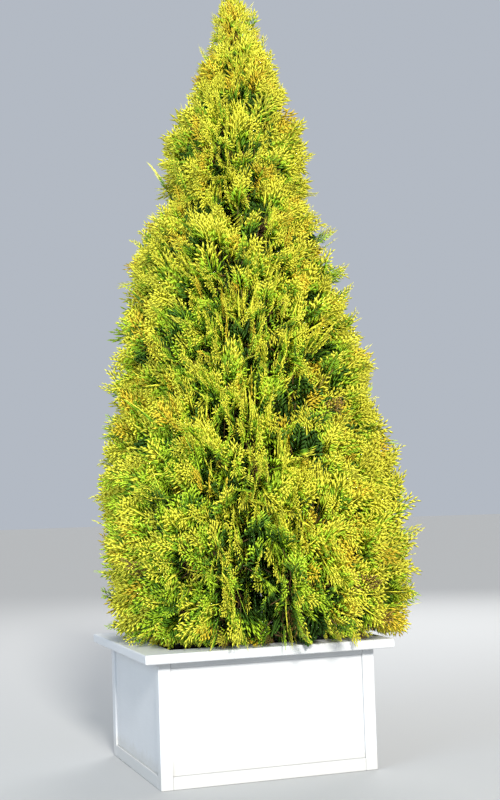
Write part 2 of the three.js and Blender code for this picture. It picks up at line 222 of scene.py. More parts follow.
# Branchlets and fingers of a spray: where they leave, their angles and their lengths
BRANCH_FIRST, BRANCH_SPAN, BRANCH_CROWDING = 0.02, 0.8, 0.95
BRANCH_ANGLE, BRANCH_CLOSING, BRANCH_SCATTER = 0.64, 0.34, 0.12
BRANCH_LENGTH, BRANCH_SHORTENING, BRANCH_UNEVEN = 0.6, 0.4, (0.82, 1.14)
FINGER_FIRST, FINGER_SPAN, FINGER_ANGLE = 0.26, 0.56, (0.22, 0.44)
FINGER_LEAST, FINGER_SHARE, FINGER_SHORTENING = 0.17, 0.34, 0.12

# How sprays differ and bend
SPRAY_VARIANTS = 6
CURL, CURL_BACK = 0.34, 0.62
CUP = 0.5
SWEEP = 0.3

# The darker layers inside, whose dark greens are partly the older foliage's own and partly
# painted shade: share of the outer layer's clumps, twigs to a clump, share of the crown's
# reach, how far beyond its outline they may go, and seed
INNER_LAYERS = ((0.74, 13, 0.8, -0.035, 2), (0.68, 13, 0.5, -0.05, 3))
INNER_SPRAY = (9, 11, 0, 1.9)

# How far out in its fan a blade ends where it takes the next tint
FAN_MIDDLE = 0.74
FAN_RIM = 0.89
FAN_REACH = 1.2
TINT_SCATTER = 0.06
# Patches: how far patch_of shifts the kinds, partly painted light on crests and painted shade in
# hollows
PATCHES = 0.55

# Tints of the foliage, from the shaded inside to the sunlit tips
TINTS = (
    "shade_green", "deep_green", "leaf_green", "fresh_green",
    "yellow_green", "lemon", "gold", "dry_brown",
)
# Each kind of spray: the tints of its inside, its middle and its tips, and its share
SPRAY_KINDS = (
    ((3, 4, 5), 0.24),
    ((3, 6, 6), 0.07),
    ((2, 4, 5), 0.34),
    ((2, 3, 5), 0.2),
    ((1, 2, 4), 0.16),
    ((7, 7, 7), 0.012),
)
FOLIAGE_GLOSS = (0.55, 0.25)

# Noise of the finishes: scale, detail and roughness
PAINT_BRUSH = (420, 4, 0.6)
PAINT_CLOUD = (5, 3, 0.5)
DIRT_SPECK = (38, 5, 0.7)
SOIL_GRAIN = (160, 6, 0.7)
BARK_FIBRE = (260, 6, 0.65)
BRUSH_STRETCH = 0.04
FIBRE_STRETCH = 0.09
DIRT_TOP = 0.035
DIRT_MOST = 0.3
DIRT_RAGGED = -0.11

# Stage
FLOOR_RADII = (0.5, 2.0, 8.0, 40.0)
FLOOR_CORNERS = 64
FLOOR_DROP = 0.0004
LIT_POINT = (0.0, 0.0, 1.2)


def chance(seed, k):
    """A repeatable number from 0 to 1: the part after the point of a large sine."""
    wave = np.sin(seed * 127.1 + k * 311.7) * 43758.5453
    return wave - np.floor(wave)


def scatter(seed, k):
    """A repeatable number from -1 to 1."""
    return 2 * chance(seed, k) - 1


def between(low, high, share):
    return low + (high - low) * share


def fade(height, start, span):
    """From 0 at the start to 1 a span further up."""
    return np.clip((height - start) / span, 0, 1)


def unit(vectors):
    """Each vector divided by its own length."""
    return vectors / np.linalg.norm(vectors, axis=-1, keepdims=True)


def value_noise(around, along, cells, rows, seed):
    """Smooth noise that repeats round a limb.

    A chance number stands at each corner of a lattice, and the smooth step 3t^2 - 2t^3 blends
    the four corners round a point.
    """
    x, y = around * cells, along * rows
    i, j = np.floor(x), np.floor(y)
    s, t = x - i, y - j
    s, t = s * s * (3 - 2 * s), t * t * (3 - 2 * t)

    def corner(right, up):
        return chance(seed + np.mod(i + right, cells), j + up)

    low = corner(0, 0) * (1 - s) + corner(1, 0) * s
    high = corner(0, 1) * (1 - s) + corner(1, 1) * s
    return low * (1 - t) + high * t


def link_object(name, data):
    """A new object in the scene."""
    thing = bpy.data.objects.new(name, data)
    bpy.context.scene.collection.objects.link(thing)
    return thing


def new_piece(name, mesh, materials, nodes=()):
    """Links a mesh as a piece that rides on the root body and stands for its CAD nodes."""
    piece = link_object(name, mesh)
    for material in materials:
        mesh.materials.append(material)
    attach(piece, "root")
    if nodes:
        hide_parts(*nodes)
    return piece


def triangle_mesh(name, points, triangles, tints=None):
    """A mesh of loose triangles, put in as whole arrays."""
    if len(triangles) == 0:
        raise RuntimeError(f"{name} came out empty")
    mesh = bpy.data.meshes.new(name)
    mesh.vertices.add(len(points))
    mesh.vertices.foreach_set("co", points.astype(np.float32).ravel())
    mesh.loops.add(triangles.size)
    mesh.loops.foreach_set("vertex_index", triangles.astype(np.int32).ravel())
    mesh.polygons.add(len(triangles))
    starts = np.arange(0, triangles.size, 3, dtype=np.int32)
    mesh.polygons.foreach_set("loop_start", starts)
    if tints is not None:
        mesh.polygons.foreach_set("material_index", tints.astype(np.int32))
    mesh.update(calc_edges=True)
    return mesh


def tube_faces(rings, corners, first=0):
    """Quads between neighbouring rings of points, and one flat face on each end."""
    row = np.arange(rings - 1)[:, None] * corners
    step = np.arange(corners)[None]
    ahead = (step + 1) % corners
    quads = np.stack(
        [row + step, row + ahead, row + corners + ahead, row + corners + step], axis=-1
    ).reshape(-1, 4)
    start = np.arange(corners)[::-1]
    end = np.arange(corners) + (rings - 1) * corners
    return [(part + first).tolist() for part in (*quads, start, end)]


def tube_mesh(name, tubes, smooth):
    """Closed tubes in one mesh. Each is an array of rings by corners by 3, and one whose
    first ring turns against the way that the tube runs is turned round."""
    points, faces = [], []
    first = 0
    for rings in tubes:
        count, corners, _ = rings.shape
        lengthwise = rings[-1].mean(0) - rings[0].mean(0)
        spokes = rings[0] - rings[0].mean(0)
        turning = np.cross(spokes, np.roll(spokes, -1, axis=0)).sum(0)
        if turning @ lengthwise < 0:
            rings = rings[:, ::-1]
        points.append(rings.reshape(-1, 3))
        faces.extend(tube_faces(count, corners, first))
        first += count * corners
    mesh = bpy.data.meshes.new(name)
    mesh.from_pydata(np.concatenate(points).tolist(), [], faces)
    mesh.polygons.foreach_set("use_smooth", [smooth] * len(mesh.polygons))
    mesh.update()
    return mesh


# Finishes


class Finish:
    """A material with its shader, and the surface coordinates that its noise stands on."""

    def __init__(self, name):
        self.material = bpy.data.materials.new(name)
        self.material.use_nodes = True
        tree = self.material.node_tree
        self.nodes, self.link = tree.nodes, tree.links.new
        self.shader = self.nodes["Principled BSDF"]
        self.place = self.nodes.new("ShaderNodeTexCoord").outputs["Object"]

    def coordinates(self, stretch=(1.0, 1.0, 1.0)):
        """The object's own coordinates, drawn out along an axis whose factor is small."""
        mapping = self.nodes.new("ShaderNodeMapping")
        self.link(self.place, mapping.inputs["Vector"])
        mapping.inputs["Scale"].default_value = stretch
        return mapping.outputs["Vector"]

    def noise(self, vector, scale, detail, roughness):
        noise = self.nodes.new("ShaderNodeTexNoise")
        noise.inputs["Scale"].default_value = scale
        noise.inputs["Detail"].default_value = detail
        noise.inputs["Roughness"].default_value = roughness
        self.link(vector, noise.inputs["Vector"])
        return noise.outputs["Fac"]

    def ramp(self, value, *stops):
        """A colour ramp through (place, colour) stops, driven by a value."""
        ramp = self.nodes.new("ShaderNodeValToRGB")
        elements = ramp.color_ramp.elements
        while len(elements) < len(stops):
            elements.new(0.5)
        for element, (place, colour) in zip(elements, stops):
            element.position = place
            element.color = (*colour, 1)
        self.link(value, ramp.inputs["Fac"])
        return ramp.outputs["Color"]

    def bump(self, height, strength, distance):
        bump = self.nodes.new("ShaderNodeBump")
        bump.inputs["Strength"].default_value = strength
        bump.inputs["Distance"].default_value = distance
        self.link(height, bump.inputs["Height"])
        self.link(bump.outputs["Normal"], self.shader.inputs["Normal"])


def scaled(colour, factor):
    return tuple(float(c) * factor for c in colour)


def grey(value):
    return (value, value, value)


def white_paint(name, settings, along):
    """Brushed satin paint on boards that run along one axis.

    The brush marks are noise drawn out along the boards. Soft noise greys the white a little,
    and splashed dirt fades out over the lowest few centimetres.
    """
    finish = Finish(name)
    stretch = [1.0, 1.0, 1.0]
    stretch[along] = BRUSH_STRETCH
    brush = finish.noise(finish.coordinates(stretch), *PAINT_BRUSH)
    plain = finish.coordinates()
    cloud = finish.noise(plain, *PAINT_CLOUD)
    paint = tuple(settings.paint)
    tone = finish.ramp(cloud, (0.3, scaled(paint, 0.955)), (0.62, paint))
    height = finish.nodes.new("ShaderNodeSeparateXYZ")
    finish.link(plain, height.inputs["Vector"])
    speck = finish.noise(plain, *DIRT_SPECK)
    raised = finish.nodes.new("ShaderNodeMath")
    raised.operation = "MULTIPLY_ADD"
    finish.link(speck, raised.inputs[0])
    raised.inputs[1].default_value = DIRT_RAGGED
    finish.link(height.outputs["Z"], raised.inputs[2])
    splash = finish.ramp(
        raised.outputs["Value"], (0.0, grey(DIRT_MOST)), (DIRT_TOP, grey(0.0))
    )
    mix = finish.nodes.new("ShaderNodeMix")
    mix.data_type = "RGBA"
    finish.link(splash, mix.inputs["Factor"])
    finish.link(tone, mix.inputs["A"])
    mix.inputs["B"].default_value = (*settings.dirt, 1)
    finish.link(mix.outputs["Result"], finish.shader.inputs["Base Color"])
    rough = finish.ramp(brush, (0.3, grey(0.36)), (0.7, grey(0.5)))
    finish.link(rough, finish.shader.inputs["Roughness"])
    finish.bump(brush, 0.25, 0.0004)
    return finish.material


def soil_finish(settings):
    """Crumbly dark soil: fine noise darkens it and raises it."""
    finish = Finish("soil_finish")
    grain = finish.noise(finish.coordinates(), *SOIL_GRAIN)
    base = tuple(settings.colour)
    tone = finish.ramp(
        grain, (0.32, scaled(base, 0.45)), (0.55, base), (0.75, scaled(base, 1.9))
    )
    finish.link(tone, finish.shader.inputs["Base Color"])
    finish.shader.inputs["Roughness"].default_value = 0.95
    finish.bump(grain, 0.8, 0.004)
    return finish.material


def bark_finish(settings):
    """Thin stringy bark: noise drawn out along the trunk colours it from dark red-brown in
    the furrows to grey-brown on the ridges, and raises its fibres."""
    finish = Finish("bark_finish")
    fibre = finish.noise(finish.coordinates((1.0, 1.0, FIBRE_STRETCH)), *BARK_FIBRE)
    base, ridge = tuple(settings.bark), tuple(settings.bark_ridge)
    tone = finish.ramp(fibre, (0.3, scaled(base, 0.35)), (0.5, base), (0.72, ridge))
    finish.link(tone, finish.shader.inputs["Base Color"])
    finish.shader.inputs["Roughness"].default_value = 0.85
    finish.bump(fibre, 0.7, 0.002)
    return finish.material


def plain_finish(name, colour, roughness, gloss):
    """One plain colour, for a tint that is dealt out by spray."""
    material = bpy.data.materials.new(name)
    material.use_nodes = True
    shader = material.node_tree.nodes["Principled BSDF"]
    shader.inputs["Base Color"].default_value = (*colour, 1)
    shader.inputs["Roughness"].default_value = roughness
    shader.inputs["Specular IOR Level"].default_value = gloss
    return material


# Planter


def rounded_corners(steps=5):
    """Angles along the four rounded corners of a rectangle, and the signs of each corner."""
    quarter = np.linspace(0, math.pi / 2, steps)
    turn = (quarter[None] + np.arange(4)[:, None] * math.pi / 2).ravel()
    return turn, np.repeat([1, -1, -1, 1], steps), np.repeat([1, 1, -1, -1], steps)


def eased_box(low, high, along, ease, steps=5):
    """Rings of an eased board. Each ring is a rectangle with quarter-circle corners, and the
    rings near both ends draw in along a quarter circle of the same radius, so that at angle f
    a ring lies ease*sin(f) further out and ease*(1-cos(f)) further in."""
    low, high = np.array(low), np.array(high)
    centre, half = (low + high) / 2, (high - low) / 2
    across = [axis for axis in range(3) if axis != along]
    bend = np.linspace(0, math.pi / 2, steps)
    inset = ease * (1 - np.cos(bend))
    outset = half[along] - ease + ease * np.sin(bend)
    inset = np.concatenate([inset[::-1], inset])
    station = np.concatenate([-outset[::-1], outset])
    turn, sign_a, sign_b = rounded_corners(steps)
    radius = np.maximum(ease - inset, 1e-6)[:, None]
    flat = half[across] - ease
    rings = np.zeros((len(station), len(turn), 3))
    rings[:, :, across[0]] = sign_a * flat[0] + radius * np.cos(turn)
    rings[:, :, across[1]] = sign_b * flat[1] + radius * np.sin(turn)
    rings[:, :, along] = station[:, None]
    return rings + centre


def rim_board(side, settings):
    """A mitred rim board: an eased section of width by thickness whose two end rings are
    slanted, so that a point that lies x in from the outer edge ends x short of the corner."""
    low, high = (np.array(corner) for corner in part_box(f"rim_{side}"))
    along = int(np.argmax(high - low))
    across = 1 - along
    outward = 1 if low[across] + high[across] > 0 else -1
    ease = settings.rim_ease
    half_width = (high[across] - low[across]) / 2
    half_thick = (high[2] - low[2]) / 2
    turn, sign_a, sign_b = rounded_corners()
    wide = sign_a * (half_width - ease) + ease * np.cos(turn)
    tall = sign_b * (half_thick - ease) + ease * np.sin(turn)
    inward = half_width - wide
    end = high[along] - inward
    rings = np.zeros((2, len(turn), 3))
    rings[:, :, across] = outward * wide + (low[across] + high[across]) / 2
    rings[:, :, 2] = tall + (low[2] + high[2]) / 2
    rings[0, :, along] = -end
    rings[1, :, along] = end
    return rings


def new_board(node, rings, paint):
    """A painted board that stands for a CAD node."""
    mesh = tube_mesh(f"{node}_board", [rings], smooth=False)
    new_piece(f"{node}_board", mesh, [paint], [node])


def build_planter(settings):
    """Boards with eased edges, each painted along its length."""
    paints = [
        white_paint(f"white_paint_along_{axis}", settings, index)
        for index, axis in enumerate("xyz")
    ]
    for side in ("front", "right", "back", "left"):
        along = 0 if side in ("front", "back") else 1
        for board in ("top_rail", "bottom_rail", "panel"):
            node = f"{board}_{side}"
            new_board(node, eased_box(*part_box(node), along, settings.ease), paints[along])
        new_board(f"rim_{side}", rim_board(side, settings), paints[along])
    for corner in ("front_left", "front_right", "back_left", "back_right"):
        node = f"post_{corner}"
        new_board(node, eased_box(*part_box(node), 2, settings.ease), paints[2])
    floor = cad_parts["planter_floor"]
    for material_slot in floor.material_slots:
        material_slot.material = paints[0]


# Soil


def build_soil(settings):
    """The soil as nested rounded rectangles: share s of the way out, a ring is the outline
    scaled by s, and its height is the soil's level plus value noise of its place. The wall
    and the underside close it."""
    low, high = (np.array(corner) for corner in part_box("soil"))
    half = (high - low)[:2] / 2
    turn = np.linspace(0, 2 * math.pi, SOIL_TURNS + 1)[:-1]
    sign = np.stack([np.sign(np.cos(turn)), np.sign(np.sin(turn))], -1)
    round_part = np.stack([np.cos(turn), np.sin(turn)], -1)
    outline = sign * (half - SOIL_CORNER) + SOIL_CORNER * round_part
    share = np.sqrt(np.linspace(0.0004, 1, SOIL_RINGS))[:, None, None]
    top = outline[None] * share
    across = top[..., 0] / SOIL_LATTICE + 0.5
    lumps = value_noise(across, top[..., 1], *SOIL_LUMPS) - 0.5
    lumps += 0.5 * (value_noise(across, top[..., 1], *SOIL_CLODS) - 0.5)
    level = SOIL_TOP + settings.lumps * lumps
    top = np.concatenate([top, level[..., None]], -1)
    wall = np.repeat(outline[None], 2, axis=0)
    wall = np.concatenate([wall, np.full((2, len(turn), 1), low[2])], -1)
    wall[1, :, :2] *= 0.02
    mesh = tube_mesh("soil_top", [np.concatenate([top, wall])], smooth=True)
    finish = soil_finish(settings)
    new_piece("soil_bed", mesh, [finish], ["soil"])

    k = np.arange(settings.crumbs)
    place = outline[(chance(5, k) * len(turn)).astype(int)] * np.sqrt(chance(6, k))[:, None] * 0.96
    radius = between(*CRUMB_RADIUS, chance(7, k) ** 2)
    centre = np.concatenate([place, (SOIL_TOP + radius * 0.3)[:, None]], -1)
    poles = np.array([[1, 0, 0], [-1, 0, 0], [0, 1, 0], [0, -1, 0], [0, 0, 1], [0, 0, -1]])
    uneven = 1 + CRUMB_UNEVEN * (chance(k[:, None] + 11, np.arange(6)[None]) - 0.5)
    points = centre[:, None] + poles[None] * (radius[:, None] * uneven)[..., None]
    faces = np.array([
        [0, 2, 4], [2, 1, 4], [1, 3, 4], [3, 0, 4], [2, 0, 5], [1, 2, 5], [3, 1, 5], [0, 3, 5],
    ])
    triangles = faces[None] + (k * 6)[:, None, None]
    mesh = triangle_mesh("soil_crumbs", points.reshape(-1, 3), triangles.reshape(-1, 3))
    new_piece("soil_crumbs", mesh, [finish])


# Trunk and limbs


def trunk_centre(height):
    """The trunk's axis: a straight lean plus one half wave of sway."""
    share = (np.asarray(height, float) - SOIL_TOP) / (TRUNK_TOP - SOIL_TOP)
    sway = SWAY * np.sin(share * math.pi)
    lean = LEAN * share
    return np.stack(
        [lean * math.cos(LEAN_TURN) - sway, lean * math.sin(LEAN_TURN) + sway, height + 0 * share],
        -1,
    )


def trunk_radius(height, turn):
    """A straight taper plus a flare that dies away upwards, with lobes round it."""
    rise = height - SOIL_TOP
    taper = between(TRUNK_FOOT_RADIUS, TRUNK_TIP_RADIUS, rise / (TRUNK_TOP - SOIL_TOP))
    lobe = 1 - FLARE_LOBE_DEPTH * (1 - np.cos(FLARE_LOBES * turn))
    return taper + FLARE * np.exp(-rise / FLARE_HEIGHT) * lobe


def bark_relief(around, along, cells, rows, seed):
    """Stringy strips, from -1 to 1: wandering ridges, sharpened as 1 - 2|n - 1/2| of smooth
    noise n that is long along the limb and narrow round it, plus finer fibres."""
    wander = 0.5 * (value_noise(around, along, 3, rows * 2, seed + 40) - 0.5) / cells
    strips = value_noise(around + wander, along, cells, rows, seed)
    fibres = value_noise(around + wander, along, cells * 3, rows * 3, seed + 17)
    return 1.4 * (1 - 2 * np.abs(strips - 0.5)) - 0.7 + 0.5 * (fibres - 0.5)


def build_trunk(settings):
    """Level rings about the axis: radius is the trunk's plus the bark's relief."""
    around = np.arange(TRUNK_CORNERS) / TRUNK_CORNERS
    share = np.linspace(0, 1, TRUNK_RINGS) ** RING_CROWDING
    height = between(SOIL_TOP, TRUNK_TOP, share)[:, None]
    turn = around[None] * 2 * math.pi
    radius = trunk_radius(height, turn)
    relief = bark_relief(around[None] + 0 * height, height, *TRUNK_STRIPS)
    radius = radius + settings.relief * relief * np.minimum(1, radius / FULL_RELIEF)
    centre = trunk_centre(height[:, 0])[:, None]
    rings = np.stack(
        [radius * np.cos(turn), radius * np.sin(turn), 0 * radius], -1
    ) + centre
    mesh = tube_mesh("trunk_bark", [rings], smooth=True)
    new_piece("trunk_bark", mesh, [bark_finish(settings)], ["trunk"])


def curve_points(start, middle, end, steps):
    """Points of a bent line: start, middle and end blended by the weights (1-t)^2, 2t(1-t)
    and t^2. Any of them may be an array of many points."""
    t = np.linspace(0, 1, steps)[:, None]
    start, middle, end = (np.asarray(p)[..., None, :] for p in (start, middle, end))
    return (1 - t) ** 2 * start + 2 * t * (1 - t) * middle + t**2 * end


def limb_rings(path, radius, corners):
    """Rings across a path. The spokes stand on the path's direction and on a side that is
    square to it and level, so that the rings never twist."""
    ahead = unit(np.gradient(path, axis=-2))
    side = np.cross(ahead, UP)
    steep = np.linalg.norm(side, axis=-1, keepdims=True) < 1e-3
    side = unit(np.where(steep, np.array([1.0, 0, 0]), side))
    over = np.cross(side, ahead)
    turn = np.arange(corners) / corners * 2 * math.pi
    spokes = (
        side[..., None, :] * np.cos(turn)[:, None] + over[..., None, :] * np.sin(turn)[:, None]
    )
    return path[..., None, :] + spokes * radius[..., None]


# Foliage masses, laid out as the source lays them out


def crown_outline(height):
    """The crown's axis and its reach at any height."""
    height = np.asarray(height, float)
    share = np.maximum(0, 1 - (height - SOIL_TOP) / (SHIFT_TOP - SOIL_TOP))[..., None]
    centre = trunk_centre(np.minimum(height, TRUNK_TOP)) + CROWN_SHIFT * share * LEAN_LINE
    centre[..., 2] = height
    return centre, np.interp(height, *np.array(OUTLINE).T)


def lay_out_mass(tier, k, seed):
    """Mass k of a tier: where its heart lies, and which way its core stands and faces."""
    ringed = tier["count"] > 1
    degrees = tier["first"] + 360 / tier["count"] * k + TURN_SCATTER * (chance(seed, 1) - 0.5)
    turn = math.radians(degrees)
    outward = np.array([math.cos(turn), math.sin(turn), 0.0])
    uneven = 1 + STAGGER_SCATTER * scatter(seed, 2)
    stagger = (1 if k % 2 == 0 else -1) * STAGGER * tier["rise"] * uneven
    girth = tier["girth"] * (1 + GIRTH_SCATTER * scatter(seed, 3))
    ring = tier["reach"] - girth - tier["spray"] * STAND if ringed else 0.0
    height = tier["height"] + (stagger if ringed else 0)
    heart = crown_outline(height)[0] + outward * ring
    return {
        "name": f"{tier['name']}_mass_{k + 1}",
        "tier": tier,
        "seed": seed,
        "outward": outward,
        "ring": ring,
        "heart": heart,
        "off_trunk": (heart - trunk_centre(heart[2])) @ outward,
        "girth": girth,
        "axis": unit(UP + outward * (AXIS_TILT if ringed else 0)),
        "pole": outward if ringed else UP,
        "back": RING_BACK if ringed else LEADER_BACK,
    }


def lay_out_masses():
    """Every mass, with the flat boundaries of its space: one plane over the planter's rim,
    and one to each neighbour, shared out by girth."""
    masses = []
    for tier in TIERS:
        for k in range(tier["count"]):
            masses.append(lay_out_mass(tier, k, len(masses) + 1))
    for mass in masses:
        others = [other for other in masses if other is not mass]
        apart = np.array([other["heart"] for other in others]) - mass["heart"]
        span = np.linalg.norm(apart, axis=1)
        girths = np.array([other["girth"] for other in others])
        share = mass["girth"] / (mass["girth"] + girths)
        mass["normals"] = np.concatenate([[-UP], apart / span[:, None]])
        rim = mass["heart"][2] - PLANTER_TOP
        mass["rooms"] = np.concatenate([[rim], span * share]) - CELL_GAP
    return masses


def inside_space(mass, points, grace):
    """Whether every point of each row lies in the mass's space, widened by a grace towards
    its neighbours but never down into the planter."""
    offset = points - mass["heart"]
    depth = offset @ mass["normals"].T
    room = mass["rooms"] + np.where(np.arange(len(mass["rooms"])) > 0, grace, 0)
    return (depth < room).all(-1).all(-1)


def core_reach(mass, direction):
    """How far the core's surface lies from the heart: the squarish egg in which the fourth
    powers of height over rise and width over girth add up to 1, cut back by the planes and
    by the bare space round the trunk."""
    lift = direction @ mass["axis"]
    level = np.sqrt(np.maximum(0, 1 - lift**2))
    girth = mass["girth"] * (1 - CORE_TAPER * lift)
    bulge = np.abs(lift / mass["tier"]["rise"]) ** CORE_SQUARE + (level / girth) ** CORE_SQUARE
    reach = bulge ** (-1 / CORE_SQUARE)
    slope = direction @ mass["normals"].T
    room = np.where(slope > 1e-9, (mass["rooms"] - CORE_GAP) / np.maximum(slope, 1e-9), np.inf)
    reach = np.minimum(reach, room.min(-1))
    inward = -(direction @ mass["outward"])
    if mass["ring"] > 0:
        bare = (mass["off_trunk"] - mass["ring"] * BARE_SHARE) / np.maximum(inward, 1e-9)
        reach = np.where(inward > 0, np.minimum(reach, bare), reach)
    return reach


def crown_noise(height, turn, cells, rows, seed):
    """Smooth noise round the crown, from -0.5 to 0.5."""
    around = turn / (2 * math.pi) % 1
    return value_noise(around, (height - NOISE_FOOT) / NOISE_SPAN, cells, rows, seed) - 0.5


def crown_reach(height, turn):
    """The outline's reach to one side, which limbs that stand forward make uneven."""
    limb = crown_noise(height, turn, *LIMB_NOISE)
    return crown_outline(height)[1] * (1 + LIMB_RELIEF * limb)


def around_axis(points):
    """How far points lie from the crown's axis, and the angle to which they lie."""
    offset = points - crown_outline(points[..., 2])[0]
    return np.hypot(offset[..., 0], offset[..., 1]), np.arctan2(offset[..., 1], offset[..., 0])


def beyond_outline(points):
    """How far outside the crown's outline points lie."""
    away, turn = around_axis(points)
    return away - crown_reach(points[..., 2], turn)


def patch_of(points):
    """How yellow each place is, from -0.75 in green hollows to 0.75 on the crests of limbs
    that stand forward: partly the foliage's own colour, partly painted light on the crests and
    painted shade in the hollows."""
    height, turn = points[..., 2], around_axis(points)[1]
    crest = (crown_reach(height, turn) / crown_outline(height)[1] - 1) / LIMB_RELIEF
    return crest + 0.5 * crown_noise(height, turn, *PATCH_NOISE)


def in_planter(points):
    """Whether points lie in the rim boards, or in the soil or just over it."""
    level = np.abs(points[..., :2])
    over_box = (level < RIM_OUTER + BESIDE_RIM).all(-1)
    over_soil = (level < RIM_INNER).all(-1)
    floor = np.where(over_soil, SOIL_TOP + OVER_SOIL, PLANTER_TOP + OVER_RIM)
    return over_box & (points[..., 2] < floor)


def owner_of(masses, points):
    """The mass in whose space each point lies deepest."""
    room = [
        (mass["rooms"] - (points - mass["heart"]) @ mass["normals"].T).min(-1)
        for mass in masses
    ]
    return np.argmax(room, axis=0)


def spiral(pole, side, over, back, share, turn):
    """Directions on a spiral that tips from the pole towards the back as the share grows."""
    facing = 1 - (1 + back) * share
    level = np.sqrt(np.maximum(0, 1 - facing * facing))
    return (
        pole * facing[..., None]
        + side * (level * np.sin(turn))[..., None]
        + over * (level * np.cos(turn))[..., None]
    )


def rise_from(direction, pole, seed, k):
    """How a twig's spray grows by the source's rule: out, up and towards the pole."""
    lift = between(*GROW_UP, chance(seed, 10 + k))
    lift = lift * (1 - DROOP * (1 - direction[..., 2]))
    return unit(direction * GROW_OUT + pole * GROW_POLE + UP * lift[..., None])


def rolled(grow, across, roll):
    """The line across a spray, square to its growth and rolled about it."""
    spread = unit(across - grow * (grow * across).sum(-1, keepdims=True))
    roll = roll[..., None]
    return spread * np.cos(roll) + np.cross(grow, spread) * np.sin(roll)


def mass_twigs(mass):
    """The twigs of the source: they leave the heart on a spiral that turns by the golden
    angle, and end within the core."""
    tier, seed, outward, pole = mass["tier"], mass["seed"], mass["outward"], mass["pole"]
    side = np.cross(outward, UP)
    k = np.arange(tier["twigs"])
    direction = spiral(pole, side, np.cross(side, pole), mass["back"], k / tier["twigs"],
                       k * GOLDEN_ANGLE + seed)
    grow = rise_from(direction, pole, seed, k)
    reach = core_reach(mass, direction) * TWIG_END
    return {
        "foot": mass["heart"] + direction * reach[:, None],
        "fork": np.repeat(mass["heart"][None], len(k), axis=0),
        "grow": grow,
        "spread": rolled(grow, side, ROLL * scatter(seed, 40 + k)),
        "length": tier["spray"] * between(*SPRAY_SIZE, chance(seed, 70 + k)),
        "shade": chance(seed, 90 + k),
        "main": k >= 0,
    }


def lay_out_clumps(masses, density, depth, seed):
    """Where the clumps of finer twigs grow. Their hearts follow the source's spiral up the
    whole outline, so many to each square metre, at a share of its reach, less the room that
    their twigs and sprays need. Each belongs to the mass in whose space it lies deepest."""
    height = np.linspace(PLANTER_TOP, FRAME_BOX[1][2] - CLUMPS_BELOW_TOP, 500)
    reach = crown_outline(height)[1]
    strips = math.pi * (reach[1:] + reach[:-1]) * np.diff(height)
    if depth < 1:
        strips = strips * (1 + FULLER_TOP * fade(height[1:], *FULLER_FROM))
    area = np.concatenate([[0], np.cumsum(strips)])
    n = np.arange(int(density * area[-1]))
    height = np.interp((n + 0.5) / len(n) * area[-1], area, height)
    height = height + HEIGHT_SCATTER * (chance(seed, n) - 0.5)
    turn = (n * GOLDEN_ANGLE + seed + 0.5 * chance(seed + 4, n)) % (2 * math.pi)
    centre, reach = crown_outline(height)[0], crown_reach(height, turn)
    around = np.stack([np.cos(turn), np.sin(turn), 0 * turn], -1)
    owner = owner_of(masses, centre + around * reach[:, None])
    spray = np.array([mass["tier"]["spray"] for mass in masses])[owner] * CLUMP_SPRAY
    girth = spray * between(*CLUMP_GIRTH, chance(seed + 1, n))
    room = girth + spray * (CLUMP_ROOM + CLUMP_RELIEF * chance(seed + 2, n) ** 2)
    heart = centre + around * (np.maximum(reach - room, 0.1 * reach) * depth)[:, None]
    hang = HANG * np.maximum(0, 1 - (height - PLANTER_TOP) / HANG_TOP)
    rise = between(*CLUMP_UP, chance(seed + 3, n)) - hang
    pole = unit(around + UP * rise[:, None])
    yaw = CLUMP_YAW * scatter(seed + 6, n)
    side = np.cross(around, UP) * np.cos(yaw)[:, None] + around * np.sin(yaw)[:, None]
    return {"n": n, "owner": owner, "heart": heart, "pole": pole, "side": side,
            "girth": girth, "spray": spray, "hang": hang}


def clump_twigs(clumps, count, seed):
    """The finer twigs: each clump grows them by the source's rule, as a mass does, but all in
    about one upright plane, in which its sprays lie too, so that they make one large fan."""
    n, k = clumps["n"][:, None], np.arange(count)[None]
    pole, side = clumps["pole"][:, None], clumps["side"][:, None]
    over = np.cross(side, pole)
    share = (k + 0.5) / count + 0 * n
    turn = k * GOLDEN_ANGLE + n
    direction = unit(spiral(pole, side * CLUMP_FLAT, over, CLUMP_BACK, share, turn))
    twig = k + count * n
    grow = unit(rise_from(direction, pole, seed, n + 0 * k) - UP * clumps["hang"][:, None, None])
    across = over + 0 * grow
    roll = PAGE_ROLL * (scatter(seed, 40 + n) + TWIG_ROLL * scatter(seed, 50 + twig))
    reach = clumps["girth"][:, None] * between(*TWIG_REACH, chance(seed, 60 + twig))
    length = clumps["spray"][:, None] * between(*SPRAY_SIZE, chance(seed, 70 + twig))
    shade = SHADE_BACK * share + SHADE_CLUMP * chance(seed, 80 + n)
    shade = shade + SHADE_TWIG * chance(seed, 90 + twig)
    fields = {
        "foot": clumps["heart"][:, None] + direction * reach[..., None],
        "fork": clumps["heart"][:, None] + 0 * direction,
        "grow": grow,
        "spread": rolled(grow, across, roll),
        "length": length,
        "shade": shade,
        "main": shade < 0,
    }
    owner = np.repeat(clumps["owner"], count)
    flat = {name: values.reshape(len(owner), *values.shape[2:]) for name, values in fields.items()}
    return owner, flat


